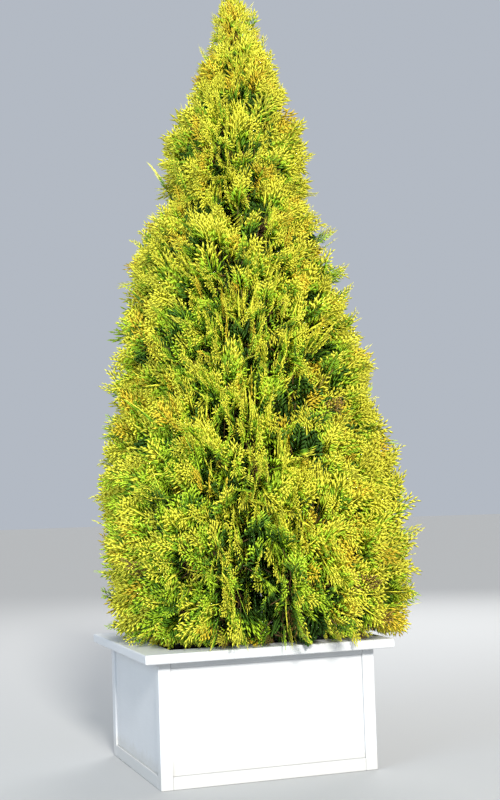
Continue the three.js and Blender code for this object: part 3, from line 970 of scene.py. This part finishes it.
def fit_sprays(mass, twigs, grace, beyond):
    """The sprays of a mass: each is the longest that stays in the mass's space and no
    further beyond the crown's outline than it may."""
    length = np.zeros(len(twigs["length"]))
    angle = np.linspace(-0.5, 0.5, 5) * SPRAY_SPREAD
    radius = 1 - SPRAY_ROUND * (2 * angle / SPRAY_SPREAD) ** 2
    low, high = np.array(FRAME_BOX[0]), np.array(FRAME_BOX[1])
    beyond = np.where(twigs["main"], beyond + MAIN_GRACE, beyond)[:, None]
    for shorter in SHORTER:
        size = (twigs["length"] * shorter)[:, None]
        root = twigs["foot"] + twigs["grow"] * size * SPRAY_STAND_OUT
        tips = (
            root[:, None]
            + twigs["grow"][:, None] * (size * radius * np.cos(angle))[..., None]
            + twigs["spread"][:, None] * (size * radius * 0.85 * np.sin(angle))[..., None]
        )
        fits = inside_space(mass, tips, grace)
        fits &= ((tips > low) & (tips < high)).all(-1).all(-1)
        fits &= (beyond_outline(tips) < beyond).all(-1) & ~in_planter(tips).any(-1)
        length = np.where((length == 0) & fits, size[:, 0], length)
    sprays = dict(twigs, length=length)
    sprays["root"] = twigs["foot"] + twigs["grow"] * (length * SPRAY_STAND_OUT)[:, None]
    return {name: values[length > 0] for name, values in sprays.items()}


def grow_sprays(clump_density, clump_count, depth, grace, beyond, seed):
    """The sprays of every mass, a list with one entry for each mass: those of the source's
    own twigs, where the depth is the full one, and those of the finer twigs."""
    masses = lay_out_masses()
    clumps = lay_out_clumps(masses, clump_density, depth, seed)
    owner, finer = clump_twigs(clumps, clump_count, seed)
    laid = []
    for number, mass in enumerate(masses):
        twigs = {name: values[owner == number] for name, values in finer.items()}
        if depth == 1:
            main = mass_twigs(mass)
            twigs = {name: np.concatenate([main[name], twigs[name]]) for name in twigs}
        laid.append((mass, fit_sprays(mass, twigs, grace, beyond)))
    return laid


# Sprays


def blades(foot, heading, length, bold, width, thick, widest):
    """Thin blades of four faces. Each has its foot, its tip and two edge points where it is
    widest, which lie its thickness below the ridge from foot to tip."""
    ahead = np.stack([np.cos(heading), np.sin(heading)], -1)
    aside = np.stack([-ahead[:, 1], ahead[:, 0]], -1)
    waist = foot + ahead * (length * widest)[:, None]
    edge = aside * (width * bold / 2)
    flat = np.stack([foot, foot + ahead * length[:, None], waist + edge, waist - edge], 1)
    fall = thick * np.array([0, 0, -1, -1]) + 0 * heading[:, None]
    return np.concatenate([flat, fall[..., None]], -1)


BLADE_FACES = np.array([[0, 1, 2], [0, 3, 1], [0, 2, 3], [1, 3, 2]])


def spray_template(variant, branchlets, fingers, bold):
    """A flat spray one unit long, as an array of blades and the age of each.

    A rachis runs from the foot to the tip. Branchlets leave it by turns to both sides, at
    angles that close up towards the tip and lengths that shorten, so that the whole is a
    fan. Fingers leave each branchlet by turns. Bold widens every blade, and lengthens the
    fingers too. Age is how far out a blade ends, from 0 at the foot to 1 at the tip.
    """
    i = np.arange(branchlets)
    hand = np.where((i + variant) % 2 == 0, 1, -1)
    along = BRANCH_FIRST + BRANCH_SPAN * (i / (branchlets - 1)) ** BRANCH_CROWDING
    wander = BRANCH_SCATTER * (chance(variant, i) - 0.5)
    heading = hand * (BRANCH_ANGLE - BRANCH_CLOSING * along + wander)
    uneven = between(*BRANCH_UNEVEN, chance(variant + 3, i))
    length = (BRANCH_LENGTH - BRANCH_SHORTENING * along) * uneven
    foot = np.stack([along, 0 * along], -1)
    j = np.arange(fingers)
    share = FINGER_FIRST + FINGER_SPAN * j / max(1, fingers - 1)
    finger_hand = np.where((i[:, None] + j) % 2 == 0, 1, -1)
    finger_angle = between(*FINGER_ANGLE, chance(variant + 5 + i[:, None], j))
    finger_heading = heading[:, None] + finger_hand * finger_angle
    finger_share = FINGER_SHARE - FINGER_SHORTENING * share
    finger_length = bold * (FINGER_LEAST + length[:, None] * finger_share)
    ahead = np.stack([np.cos(heading), np.sin(heading)], -1)
    finger_foot = foot[:, None] + ahead[:, None] * (length[:, None] * share)[..., None]
    rachis_foot, rachis_length = np.array([[-SPRAY_FOOT, 0.0]]), np.array([RACHIS_LENGTH])
    width, thick, widest = FINGER
    points = np.concatenate([
        blades(rachis_foot, np.zeros(1), rachis_length, bold, *RACHIS),
        blades(foot, heading, length, bold, *BRANCHLET),
        blades(finger_foot.reshape(-1, 2), finger_heading.ravel(), finger_length.ravel(), bold,
               width, thick, widest / bold),
    ])
    age = np.hypot(points[:, 1, 0], points[:, 1, 1])
    age[0] = 0.2
    return points, age


def spread_sprays(sprays, template, ages, seed, kinds):
    """Every spray's blades in space.

    A point a along, b aside and c off the template's plane lies at root + L(a grow + b
    spread + c face), where the plane is bent first: c gains curl a^2 + cup b^2, and b gains
    sweep a^2. How far out a blade ends, in its spray or in its clump's fan, picks its tint
    from those of the spray's kind.
    """
    n = len(sprays["length"])
    k = np.arange(n)
    turned = np.where(chance(seed, 3 * k + 900) > 0.5, 1, -1)[:, None, None]
    curl = (CURL * (chance(seed, 3 * k) - CURL_BACK))[:, None, None]
    cup = (CUP * (chance(seed, 3 * k + 1) - 0.5))[:, None, None]
    sweep = (SWEEP * (chance(seed, 3 * k + 2) - 0.5))[:, None, None]
    along, aside, off = (template[None, ..., axis] for axis in range(3))
    off = off + curl * along**2 + cup * aside**2
    aside = aside * turned + sweep * along**2
    off = off * turned
    grow, spread = sprays["grow"][:, None, None], sprays["spread"][:, None, None]
    face = np.cross(sprays["grow"], sprays["spread"])[:, None, None]
    size = sprays["length"][:, None, None, None]
    points = sprays["root"][:, None, None] + size * (
        (along + 0 * off)[..., None] * grow + aside[..., None] * spread + off[..., None] * face
    )
    ends = np.linalg.norm(points[:, :, 1] - sprays["fork"][:, None], axis=-1)
    fan = np.linalg.norm(sprays["foot"] - sprays["fork"], axis=-1) + FAN_REACH * sprays["length"]
    out = np.where(sprays["main"][:, None], ages[None], ends / fan[:, None])
    out = out + TINT_SCATTER * (chance(seed + k[:, None], np.arange(len(ages))[None]) - 0.5)
    stage = (out > FAN_MIDDLE).astype(int) + (out > FAN_RIM)
    tints = np.array([kind[0] for kind in SPRAY_KINDS])[kinds[:, None], stage]
    corner = np.arange(n * len(ages))[:, None, None] * 4
    triangles = (BLADE_FACES[None] + corner).reshape(-1, 3)
    return points.reshape(-1, 3), triangles, np.repeat(tints.ravel(), len(BLADE_FACES))


def choose_kinds(sprays, mass):
    """The kind of each spray, by the kinds' shares: sprays with little shade are yellow, and
    there are more of them high up and on crests, where the extra yellow, like the greener kinds
    in hollows, is partly painted light and shade. A few are dry, most of them low down."""
    shade = np.argsort(np.argsort(sprays["shade"])) / max(1, len(sprays["shade"]))
    height = sprays["foot"][:, 2]
    shade = shade * between(1, GOLDEN_TOP, fade(height, *GOLDEN_FROM))
    # Crests take yellower kinds and hollows greener ones: partly painted light and shade
    shade = np.clip(shade - PATCHES * patch_of(sprays["foot"]), 0, 1)
    bounds = np.cumsum([share for _, share in SPRAY_KINDS[:-1]])
    kinds = np.minimum(np.searchsorted(bounds, shade * bounds[-1]), len(bounds) - 1)
    share = SPRAY_KINDS[-1][1] * between(DRY_LOW, DRY_HIGH, fade(height, *DRY_FROM))
    dry = chance(mass["seed"] + 0.87, np.arange(len(kinds))) < share
    return np.where(dry, len(SPRAY_KINDS) - 1, kinds)


def join_sets(sets):
    """Several sets of points, triangles and tints as one."""
    points, triangles, tints = [], [], []
    first = 0
    for some_points, some_triangles, some_tints in sets:
        points.append(some_points)
        triangles.append(some_triangles + first)
        tints.append(some_tints)
        first += len(some_points)
    return np.concatenate(points), np.concatenate(triangles), np.concatenate(tints)


def build_foliage(settings):
    """One piece for each mass: full sprays on the outside, and plainer dark ones inside, whose
    dark greens are partly painted shade.
    """
    finishes = [
        plain_finish(f"foliage_{name}", tuple(getattr(settings, name)), *FOLIAGE_GLOSS)
        for name in TINTS
    ]
    inner_template, inner_ages = spray_template(*INNER_SPRAY)
    layers = [grow_sprays(settings.density, settings.twigs, 1, settings.grace, OUTLINE_GRACE, 1)]
    for share, twigs, depth, beyond, seed in INNER_LAYERS:
        density = settings.density * share
        layers.append(grow_sprays(density, twigs, depth, settings.grace, beyond, seed))
    for (mass, outer), *deeper in zip(*layers):
        sets = []
        high = fade(mass["heart"][2], *BOLD_FROM)
        branchlets, bold = settings.branchlets - int(3 * high), between(1, BOLD_TOP, high)
        kinds = choose_kinds(outer, mass)
        draw = chance(mass["seed"] + 0.29, np.arange(len(kinds)))
        variant = (draw * SPRAY_VARIANTS).astype(int)
        for index in range(SPRAY_VARIANTS):
            chosen = variant == index
            if chosen.any():
                template, ages = spray_template(index, branchlets, settings.fingers, bold)
                some = {name: values[chosen] for name, values in outer.items()}
                seed = mass["seed"] + 0.13 * index
                sets.append(spread_sprays(some, template, ages, seed, kinds[chosen]))
        # The inner sprays take shade green, deep green or leaf green: the older foliage's own
        # greens, made darker as painted shade
        for layer, (_, inner) in enumerate(deeper):
            kinds = np.zeros(len(inner["length"]), int)
            points, triangles, tints = spread_sprays(
                inner, inner_template, inner_ages, mass["seed"] + 0.71, kinds
            )
            spray = np.arange(len(tints)) // (len(BLADE_FACES) * len(inner_ages))
            # The deeper layer takes more shade green, the darkest tint, as painted shade
            lighter = chance(mass["seed"] + layer, spray) > 0.4 + 0.3 * layer
            sets.append((points, triangles, lighter + int(high > 0.5)))
        points, triangles, tints = join_sets(sets)
        name = mass["name"].replace("mass", "foliage")
        mesh = triangle_mesh(name, points, triangles, tints)
        new_piece(name, mesh, finishes, [mass["name"]])


def limb_lines(mass):
    """The limb that carries a mass, as start, middle and end of a bent line with its two
    radii. In the lowest tiers it is the bough, and its stem goes on to the heart."""
    tier, heart = mass["tier"], mass["heart"]
    if tier["bough_foot"]:
        foot = trunk_centre(tier["bough_foot"] + BOUGH_SCATTER * chance(mass["seed"], 4))
        back = unit(foot - heart)
        tip = heart + back * core_reach(mass, back[None])[0]
        middle = (foot + tip) / 2 + mass["outward"] * BOUGH_ARCH
        bough = (foot, middle, tip, BOUGH_FOOT_RADIUS, BOUGH_TIP_RADIUS)
        thin = BOUGH_TIP_RADIUS * STEM_THINNER
        return bough, (tip, (tip + heart) / 2, heart, BOUGH_TIP_RADIUS, thin)
    if mass["ring"] == 0:
        foot, radius = trunk_centre(TRUNK_TOP - 0.004), TRUNK_TIP_RADIUS
    else:
        foot = trunk_centre(heart[2] - tier["rise"] * STEM_SHARE)
        radius = min(STEM_RADIUS, trunk_radius(foot[2], 0) * STEM_SHARE)
    return None, (foot, (foot + heart) / 2, heart, radius, radius * STEM_THINNER)


def limb_tube(line, tube, relief, seed):
    """Rings of a tapering limb: its radius plus the bark's relief, on a bent line."""
    steps, corners, share = tube
    start, middle, end, thick, thin = line
    path = curve_points(start, middle, end, steps)
    along = np.linspace(0, 1, steps)[:, None]
    around = np.arange(corners)[None] / corners
    radius = between(thick, thin, along) + 0 * around
    rows = max(2, round(np.linalg.norm(np.asarray(end) - np.asarray(start)) * STRIPS_TO_METRE))
    strips = bark_relief(around + 0 * along, along + 0 * around, LIMB_STRIPS, rows, seed)
    radius = radius + relief * share * strips
    return limb_rings(path, radius, corners)


def build_boughs(settings):
    """Boughs with the bark's relief, each one tapering tube, and the stems they carry."""
    boughs, stems, nodes = [], [], []
    for mass in lay_out_masses():
        bough, stem = limb_lines(mass)
        if bough:
            boughs.append(limb_tube(bough, BOUGH_TUBE, settings.relief, mass["seed"]))
            nodes.append(mass["name"].replace("mass", "bough"))
        stems.append(limb_tube(stem, STEM_TUBE, settings.relief, mass["seed"]))
    finish = bark_finish(settings)
    new_piece("boughs_bark", tube_mesh("boughs_bark", boughs, smooth=True), [finish], nodes)
    new_piece("stems_bark", tube_mesh("stems_bark", stems, smooth=True), [finish])


def twig_set(start, end, thick, thin, corners=4, steps=4):
    """Many bent, tapering twigs at once. Each bows downwards at its middle, as it rises
    towards the light at its end."""
    sag = np.linalg.norm(end - start, axis=1)[:, None] * TWIG_SAG
    path = curve_points(start, (start + end) / 2 - UP * sag, end, steps)
    radius = between(thick, thin, np.linspace(0, 1, steps))[None, :, None]
    rings = limb_rings(path, radius, corners)
    count = len(start)
    row = np.arange(steps - 1)[:, None] * corners
    step = np.arange(corners)[None]
    ahead = (step + 1) % corners
    near = np.stack([row + step, row + ahead, row + corners + ahead], -1)
    far = np.stack([row + step, row + corners + ahead, row + corners + step], -1)
    fan = np.arange(1, corners - 1)
    last = (steps - 1) * corners
    foot_cap = np.stack([0 * fan, fan + 1, fan], -1)
    tip_cap = np.stack([0 * fan + last, fan + last, fan + 1 + last], -1)
    faces = np.concatenate([near.reshape(-1, 3), far.reshape(-1, 3), foot_cap, tip_cap])
    triangles = faces[None] + (np.arange(count) * steps * corners)[:, None, None]
    return rings.reshape(-1, 3), triangles.reshape(-1, 3)


def build_twigs(settings):
    """Twigs of every mass. The source's own twigs run from the heart to their sprays, and
    each clump's stalk leaves the nearest of those half of the way along."""
    crown = bpy.context.scene.thuja.foliage
    sets = []
    laid = grow_sprays(crown.density, crown.twigs, 1, crown.grace, OUTLINE_GRACE, 1)
    for mass, sprays in laid:
        main, fork, root = sprays["main"], sprays["fork"], sprays["root"]
        clumps = np.unique(np.round(fork[~main], 6), axis=0)
        ends = sprays["foot"][main] - mass["heart"]
        nearest = np.argmax(unit(clumps - mass["heart"]) @ unit(ends).T, axis=1)
        halfway = mass["heart"] + ends[nearest] * 0.5
        for points, triangles in (
            twig_set(fork[main], root[main], *MAIN_TWIG),
            twig_set(fork[~main], root[~main], *FINE_TWIG, corners=3, steps=3),
            twig_set(halfway, clumps, *CLUMP_TWIG),
        ):
            sets.append((points, triangles, np.zeros(len(triangles))))
    points, triangles, _ = join_sets(sets)
    finish = plain_finish("twig_brown", tuple(settings.twig), 0.8, 0.3)
    new_piece("twigs", triangle_mesh("twigs", points, triangles), [finish])


# Stage


def add_light(name, place, power, colour, size=None, angle=None):
    """A disk of some size, or where an angle is given a far light as wide as that in the sky,
    which is as strong near and far."""
    light = bpy.data.lights.new(name, "AREA" if angle is None else "SUN")
    if angle is None:
        light.shape = "DISK"
        light.size = size
    else:
        light.angle = angle
    light.energy = power
    light.color = colour
    lamp = link_object(name, light)
    lamp.location = place
    lamp.rotation_mode = "QUATERNION"
    aim = Vector(LIT_POINT) - Vector(place)
    lamp.rotation_quaternion = aim.to_track_quat("-Z", "Y")


def build_stage(settings):
    """A round floor, a plain surround, three lights and the photograph's camera."""
    turn = np.arange(FLOOR_CORNERS) / FLOOR_CORNERS * 2 * math.pi
    level = np.stack([np.cos(turn), np.sin(turn), 0 * turn], -1)
    points = np.concatenate([level * radius for radius in FLOOR_RADII]) - UP * FLOOR_DROP
    faces = tube_faces(len(FLOOR_RADII), FLOOR_CORNERS)[:-1]
    mesh = bpy.data.meshes.new("floor")
    mesh.from_pydata(points.tolist(), [], [face[::-1] for face in faces])
    floor = link_object("floor", mesh)
    mesh.materials.append(plain_finish("floor_pale", tuple(settings.floor), 0.8, 0.2))

    world = bpy.data.worlds.new("studio")
    world.use_nodes = True
    background = world.node_tree.nodes["Background"]
    background.inputs["Color"].default_value = (*settings.surround, 1)
    background.inputs["Strength"].default_value = settings.surround_power
    bpy.context.scene.world = world
    bpy.context.scene.view_settings.view_transform = "Standard"
    add_light("key", (-0.6, -5.6, 3.9), settings.key_power, (1.0, 0.98, 0.93),
              angle=math.radians(9))
    add_light("fill", (-5.0, -3.0, 2.6), settings.fill_power, (0.66, 0.83, 1.0), size=4.0)
    add_light("back", (3.0, 4.6, 4.2), settings.back_power, (1.0, 1.0, 1.0), size=4.0)

    camera = bpy.data.cameras.new("camera")
    camera.lens = settings.lens
    camera.sensor_width = 36
    camera.sensor_fit = "AUTO"
    eye = link_object("camera", camera)
    ahead = Vector(settings.camera_ahead).normalized()
    right = Vector(settings.camera_right)
    right = (right - ahead * right.dot(ahead)).normalized()
    above = right.cross(ahead)
    axes = Matrix((right, above, -ahead)).transposed().to_4x4()
    eye.matrix_world = Matrix.Translation(Vector(settings.camera_place)) @ axes
    camera.clip_start, camera.clip_end = 0.05, 100
    bpy.context.scene.camera = eye


# Settings


def colour_property(name, text, default):
    return FloatVectorProperty(
        name=name, description=text, subtype="COLOR", size=3, default=default, min=0, max=1
    )


def length_property(name, text, default, least, most):
    return FloatProperty(
        name=name, description=text, default=default, min=least, max=most, unit="LENGTH"
    )


def count_property(name, text, default, least, most):
    return IntProperty(name=name, description=text, default=default, min=least, max=most)


class PlanterSettings(bpy.types.PropertyGroup):
    """Sizes and paint of the planter box"""

    ease: length_property(
        "Edge easing", "Radius of the edges of posts, rails and panels", 0.0025, 0.0005, 0.006
    )
    rim_ease: length_property(
        "Rim easing", "Radius of the edges of the rim boards", 0.005, 0.001, 0.012
    )
    paint: colour_property("Paint", "Colour of the paint", (0.62, 0.627, 0.635))
    dirt: colour_property(
        "Dirt", "Colour of the dirt splashed up from the ground", (0.42, 0.38, 0.3)
    )


class SoilSettings(bpy.types.PropertyGroup):
    """Surface of the soil"""

    colour: colour_property("Soil", "Colour of the soil", (0.035, 0.024, 0.017))
    lumps: length_property("Lumps", "Height of the soil's lumps", 0.009, 0, 0.02)
    crumbs: count_property("Crumbs", "Number of loose crumbs", 900, 1, 5000)


class LimbSettings(bpy.types.PropertyGroup):
    """Bark of the trunk, boughs and twigs"""

    relief: length_property("Relief", "Height of the bark's strips", 0.0018, 0, 0.005)
    bark: colour_property("Bark", "Colour of the bark", (0.12, 0.062, 0.036))
    bark_ridge: colour_property(
        "Bark ridges", "Colour of the bark's weathered ridges", (0.27, 0.19, 0.14)
    )
    twig: colour_property("Twigs", "Colour of the twigs", (0.13, 0.075, 0.03))


class FoliageSettings(bpy.types.PropertyGroup):
    """Number, shape and tints of the sprays"""

    density: FloatProperty(
        name="Density", description="Clumps of finer twigs for each square metre of outline",
        default=60, min=0, max=250,
    )
    twigs: count_property("Twigs", "Finer twigs in each clump", 20, 3, 60)
    branchlets: count_property("Branchlets", "Branchlets on each spray", 9, 3, 16)
    fingers: count_property("Fingers", "Fingers on each branchlet", 3, 1, 6)
    grace: length_property(
        "Grace", "How far sprays may reach in among their neighbours", 0.12, 0, 0.2
    )
    # Shade green colours only the inner sprays: partly the older foliage's green, partly painted
    # shade
    shade_green: colour_property(
        "Shade green", "Deepest green, inside the crown", (0.034, 0.09, 0.008)
    )
    deep_green: colour_property("Deep green", "Old green", (0.063, 0.155, 0.014))
    leaf_green: colour_property("Leaf green", "Full green", (0.155, 0.335, 0.018))
    fresh_green: colour_property("Fresh green", "Yellowish green", (0.315, 0.56, 0.022))
    yellow_green: colour_property("Yellow-green", "Greenish yellow", (0.54, 0.77, 0.035))
    lemon: colour_property("Lemon", "Lemon yellow of the tips", (0.94, 0.9, 0.07))
    gold: colour_property("Gold", "Gold of the warmest sprays", (0.93, 0.69, 0.045))
    dry_brown: colour_property("Dry brown", "Dry brown of the few dead sprays", (0.31, 0.19, 0.05))


class StageSettings(bpy.types.PropertyGroup):
    """Floor, lights and camera"""

    floor: colour_property("Floor", "Colour of the floor", (0.46, 0.46, 0.455))
    surround: colour_property("Surround", "Colour of the studio's walls", (0.82, 0.89, 1.0))
    surround_power: FloatProperty(
        name="Surround strength", description="Brightness of the studio's walls",
        default=0.55, min=0, max=3,
    )
    key_power: FloatProperty(
        name="Key light", description="Strength of the main light, in W for each square metre",
        default=4.2, min=0,
    )
    fill_power: FloatProperty(
        name="Fill light", description="Power of the broad light on the left", default=185,
        min=0, unit="POWER",
    )
    back_power: FloatProperty(
        name="Back light", description="Power of the light behind", default=220, min=0,
        unit="POWER",
    )
    camera_place: FloatVectorProperty(
        name="Camera place", description="Where the camera stands", subtype="TRANSLATION",
        size=3, default=(-1.3982, -4.4107, 0.8976),
    )
    camera_ahead: FloatVectorProperty(
        name="Camera direction", description="Which way the camera looks", subtype="XYZ",
        size=3, default=(0.31622, 0.94615, 0.06941),
    )
    camera_right: FloatVectorProperty(
        name="Camera right", description="Which way the picture's right side lies",
        subtype="XYZ", size=3, default=(0.94865, -0.3147, -0.0322),
    )
    lens: FloatProperty(
        name="Lens", description="Focal length of the camera, in millimetres",
        default=60.84, min=10, max=300,
    )


class ThujaSettings(bpy.types.PropertyGroup):
    """All settings of the potted thuja"""

    planter: PointerProperty(type=PlanterSettings)
    soil: PointerProperty(type=SoilSettings)
    limbs: PointerProperty(type=LimbSettings)
    foliage: PointerProperty(type=FoliageSettings)
    stage: PointerProperty(type=StageSettings)


# Operators


class THUJA_OT_planter(bpy.types.Operator):
    """Build the posts, rails, panels and rim boards with eased edges, and paint them"""

    bl_idname = "thuja.planter"
    bl_label = "Planter"

    def execute(self, context):
        build_planter(context.scene.thuja.planter)
        return {"FINISHED"}


class THUJA_OT_soil(bpy.types.Operator):
    """Build the uneven top of the soil and its loose crumbs"""

    bl_idname = "thuja.soil"
    bl_label = "Soil"

    def execute(self, context):
        build_soil(context.scene.thuja.soil)
        return {"FINISHED"}


class THUJA_OT_trunk(bpy.types.Operator):
    """Build the trunk with its bark"""

    bl_idname = "thuja.trunk"
    bl_label = "Trunk"

    def execute(self, context):
        build_trunk(context.scene.thuja.limbs)
        return {"FINISHED"}


class THUJA_OT_boughs(bpy.types.Operator):
    """Build the boughs and the stems inside the foliage masses"""

    bl_idname = "thuja.boughs"
    bl_label = "Boughs"

    def execute(self, context):
        build_boughs(context.scene.thuja.limbs)
        return {"FINISHED"}


class THUJA_OT_twigs(bpy.types.Operator):
    """Build the twigs that carry the sprays"""

    bl_idname = "thuja.twigs"
    bl_label = "Twigs"

    def execute(self, context):
        build_twigs(context.scene.thuja.limbs)
        return {"FINISHED"}


class THUJA_OT_foliage(bpy.types.Operator):
    """Build the sprays of every foliage mass"""

    bl_idname = "thuja.foliage"
    bl_label = "Foliage"

    def execute(self, context):
        build_foliage(context.scene.thuja.foliage)
        return {"FINISHED"}


class THUJA_OT_stage(bpy.types.Operator):
    """Set up the floor, the lights and the camera"""

    bl_idname = "thuja.stage"
    bl_label = "Stage"

    def execute(self, context):
        build_stage(context.scene.thuja.stage)
        return {"FINISHED"}


class THUJA_PT_panel(bpy.types.Panel):
    """The potted thuja's settings and steps"""

    bl_label = "Potted Thuja"
    bl_idname = "THUJA_PT_panel"
    bl_space_type = "VIEW_3D"
    bl_region_type = "UI"
    bl_category = "Thuja"

    def draw(self, context):
        settings = context.scene.thuja
        groups = (
            ("planter", ("planter",)),
            ("soil", ("soil",)),
            ("limbs", ("trunk", "boughs", "twigs")),
            ("foliage", ("foliage",)),
            ("stage", ("stage",)),
        )
        for group, steps in groups:
            box = self.layout.box()
            values = getattr(settings, group)
            for name in values.__annotations__:
                box.prop(values, name)
            for step in steps:
                box.operator(f"thuja.{step}")


CLASSES = (
    PlanterSettings,
    SoilSettings,
    LimbSettings,
    FoliageSettings,
    StageSettings,
    ThujaSettings,
    THUJA_OT_planter,
    THUJA_OT_soil,
    THUJA_OT_trunk,
    THUJA_OT_boughs,
    THUJA_OT_twigs,
    THUJA_OT_foliage,
    THUJA_OT_stage,
    THUJA_PT_panel,
)


def register():
    for cls in CLASSES:
        bpy.utils.register_class(cls)
    bpy.types.Scene.thuja = PointerProperty(type=ThujaSettings)


def unregister():
    del bpy.types.Scene.thuja
    for cls in reversed(CLASSES):
        bpy.utils.unregister_class(cls)


def main():
    """Runs every step in order."""
    register()
    bpy.ops.thuja.stage()
    bpy.ops.thuja.planter()
    bpy.ops.thuja.soil()
    bpy.ops.thuja.trunk()
    bpy.ops.thuja.boughs()
    bpy.ops.thuja.twigs()
    bpy.ops.thuja.foliage()
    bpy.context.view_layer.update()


if __name__ == "__main__":
    main()
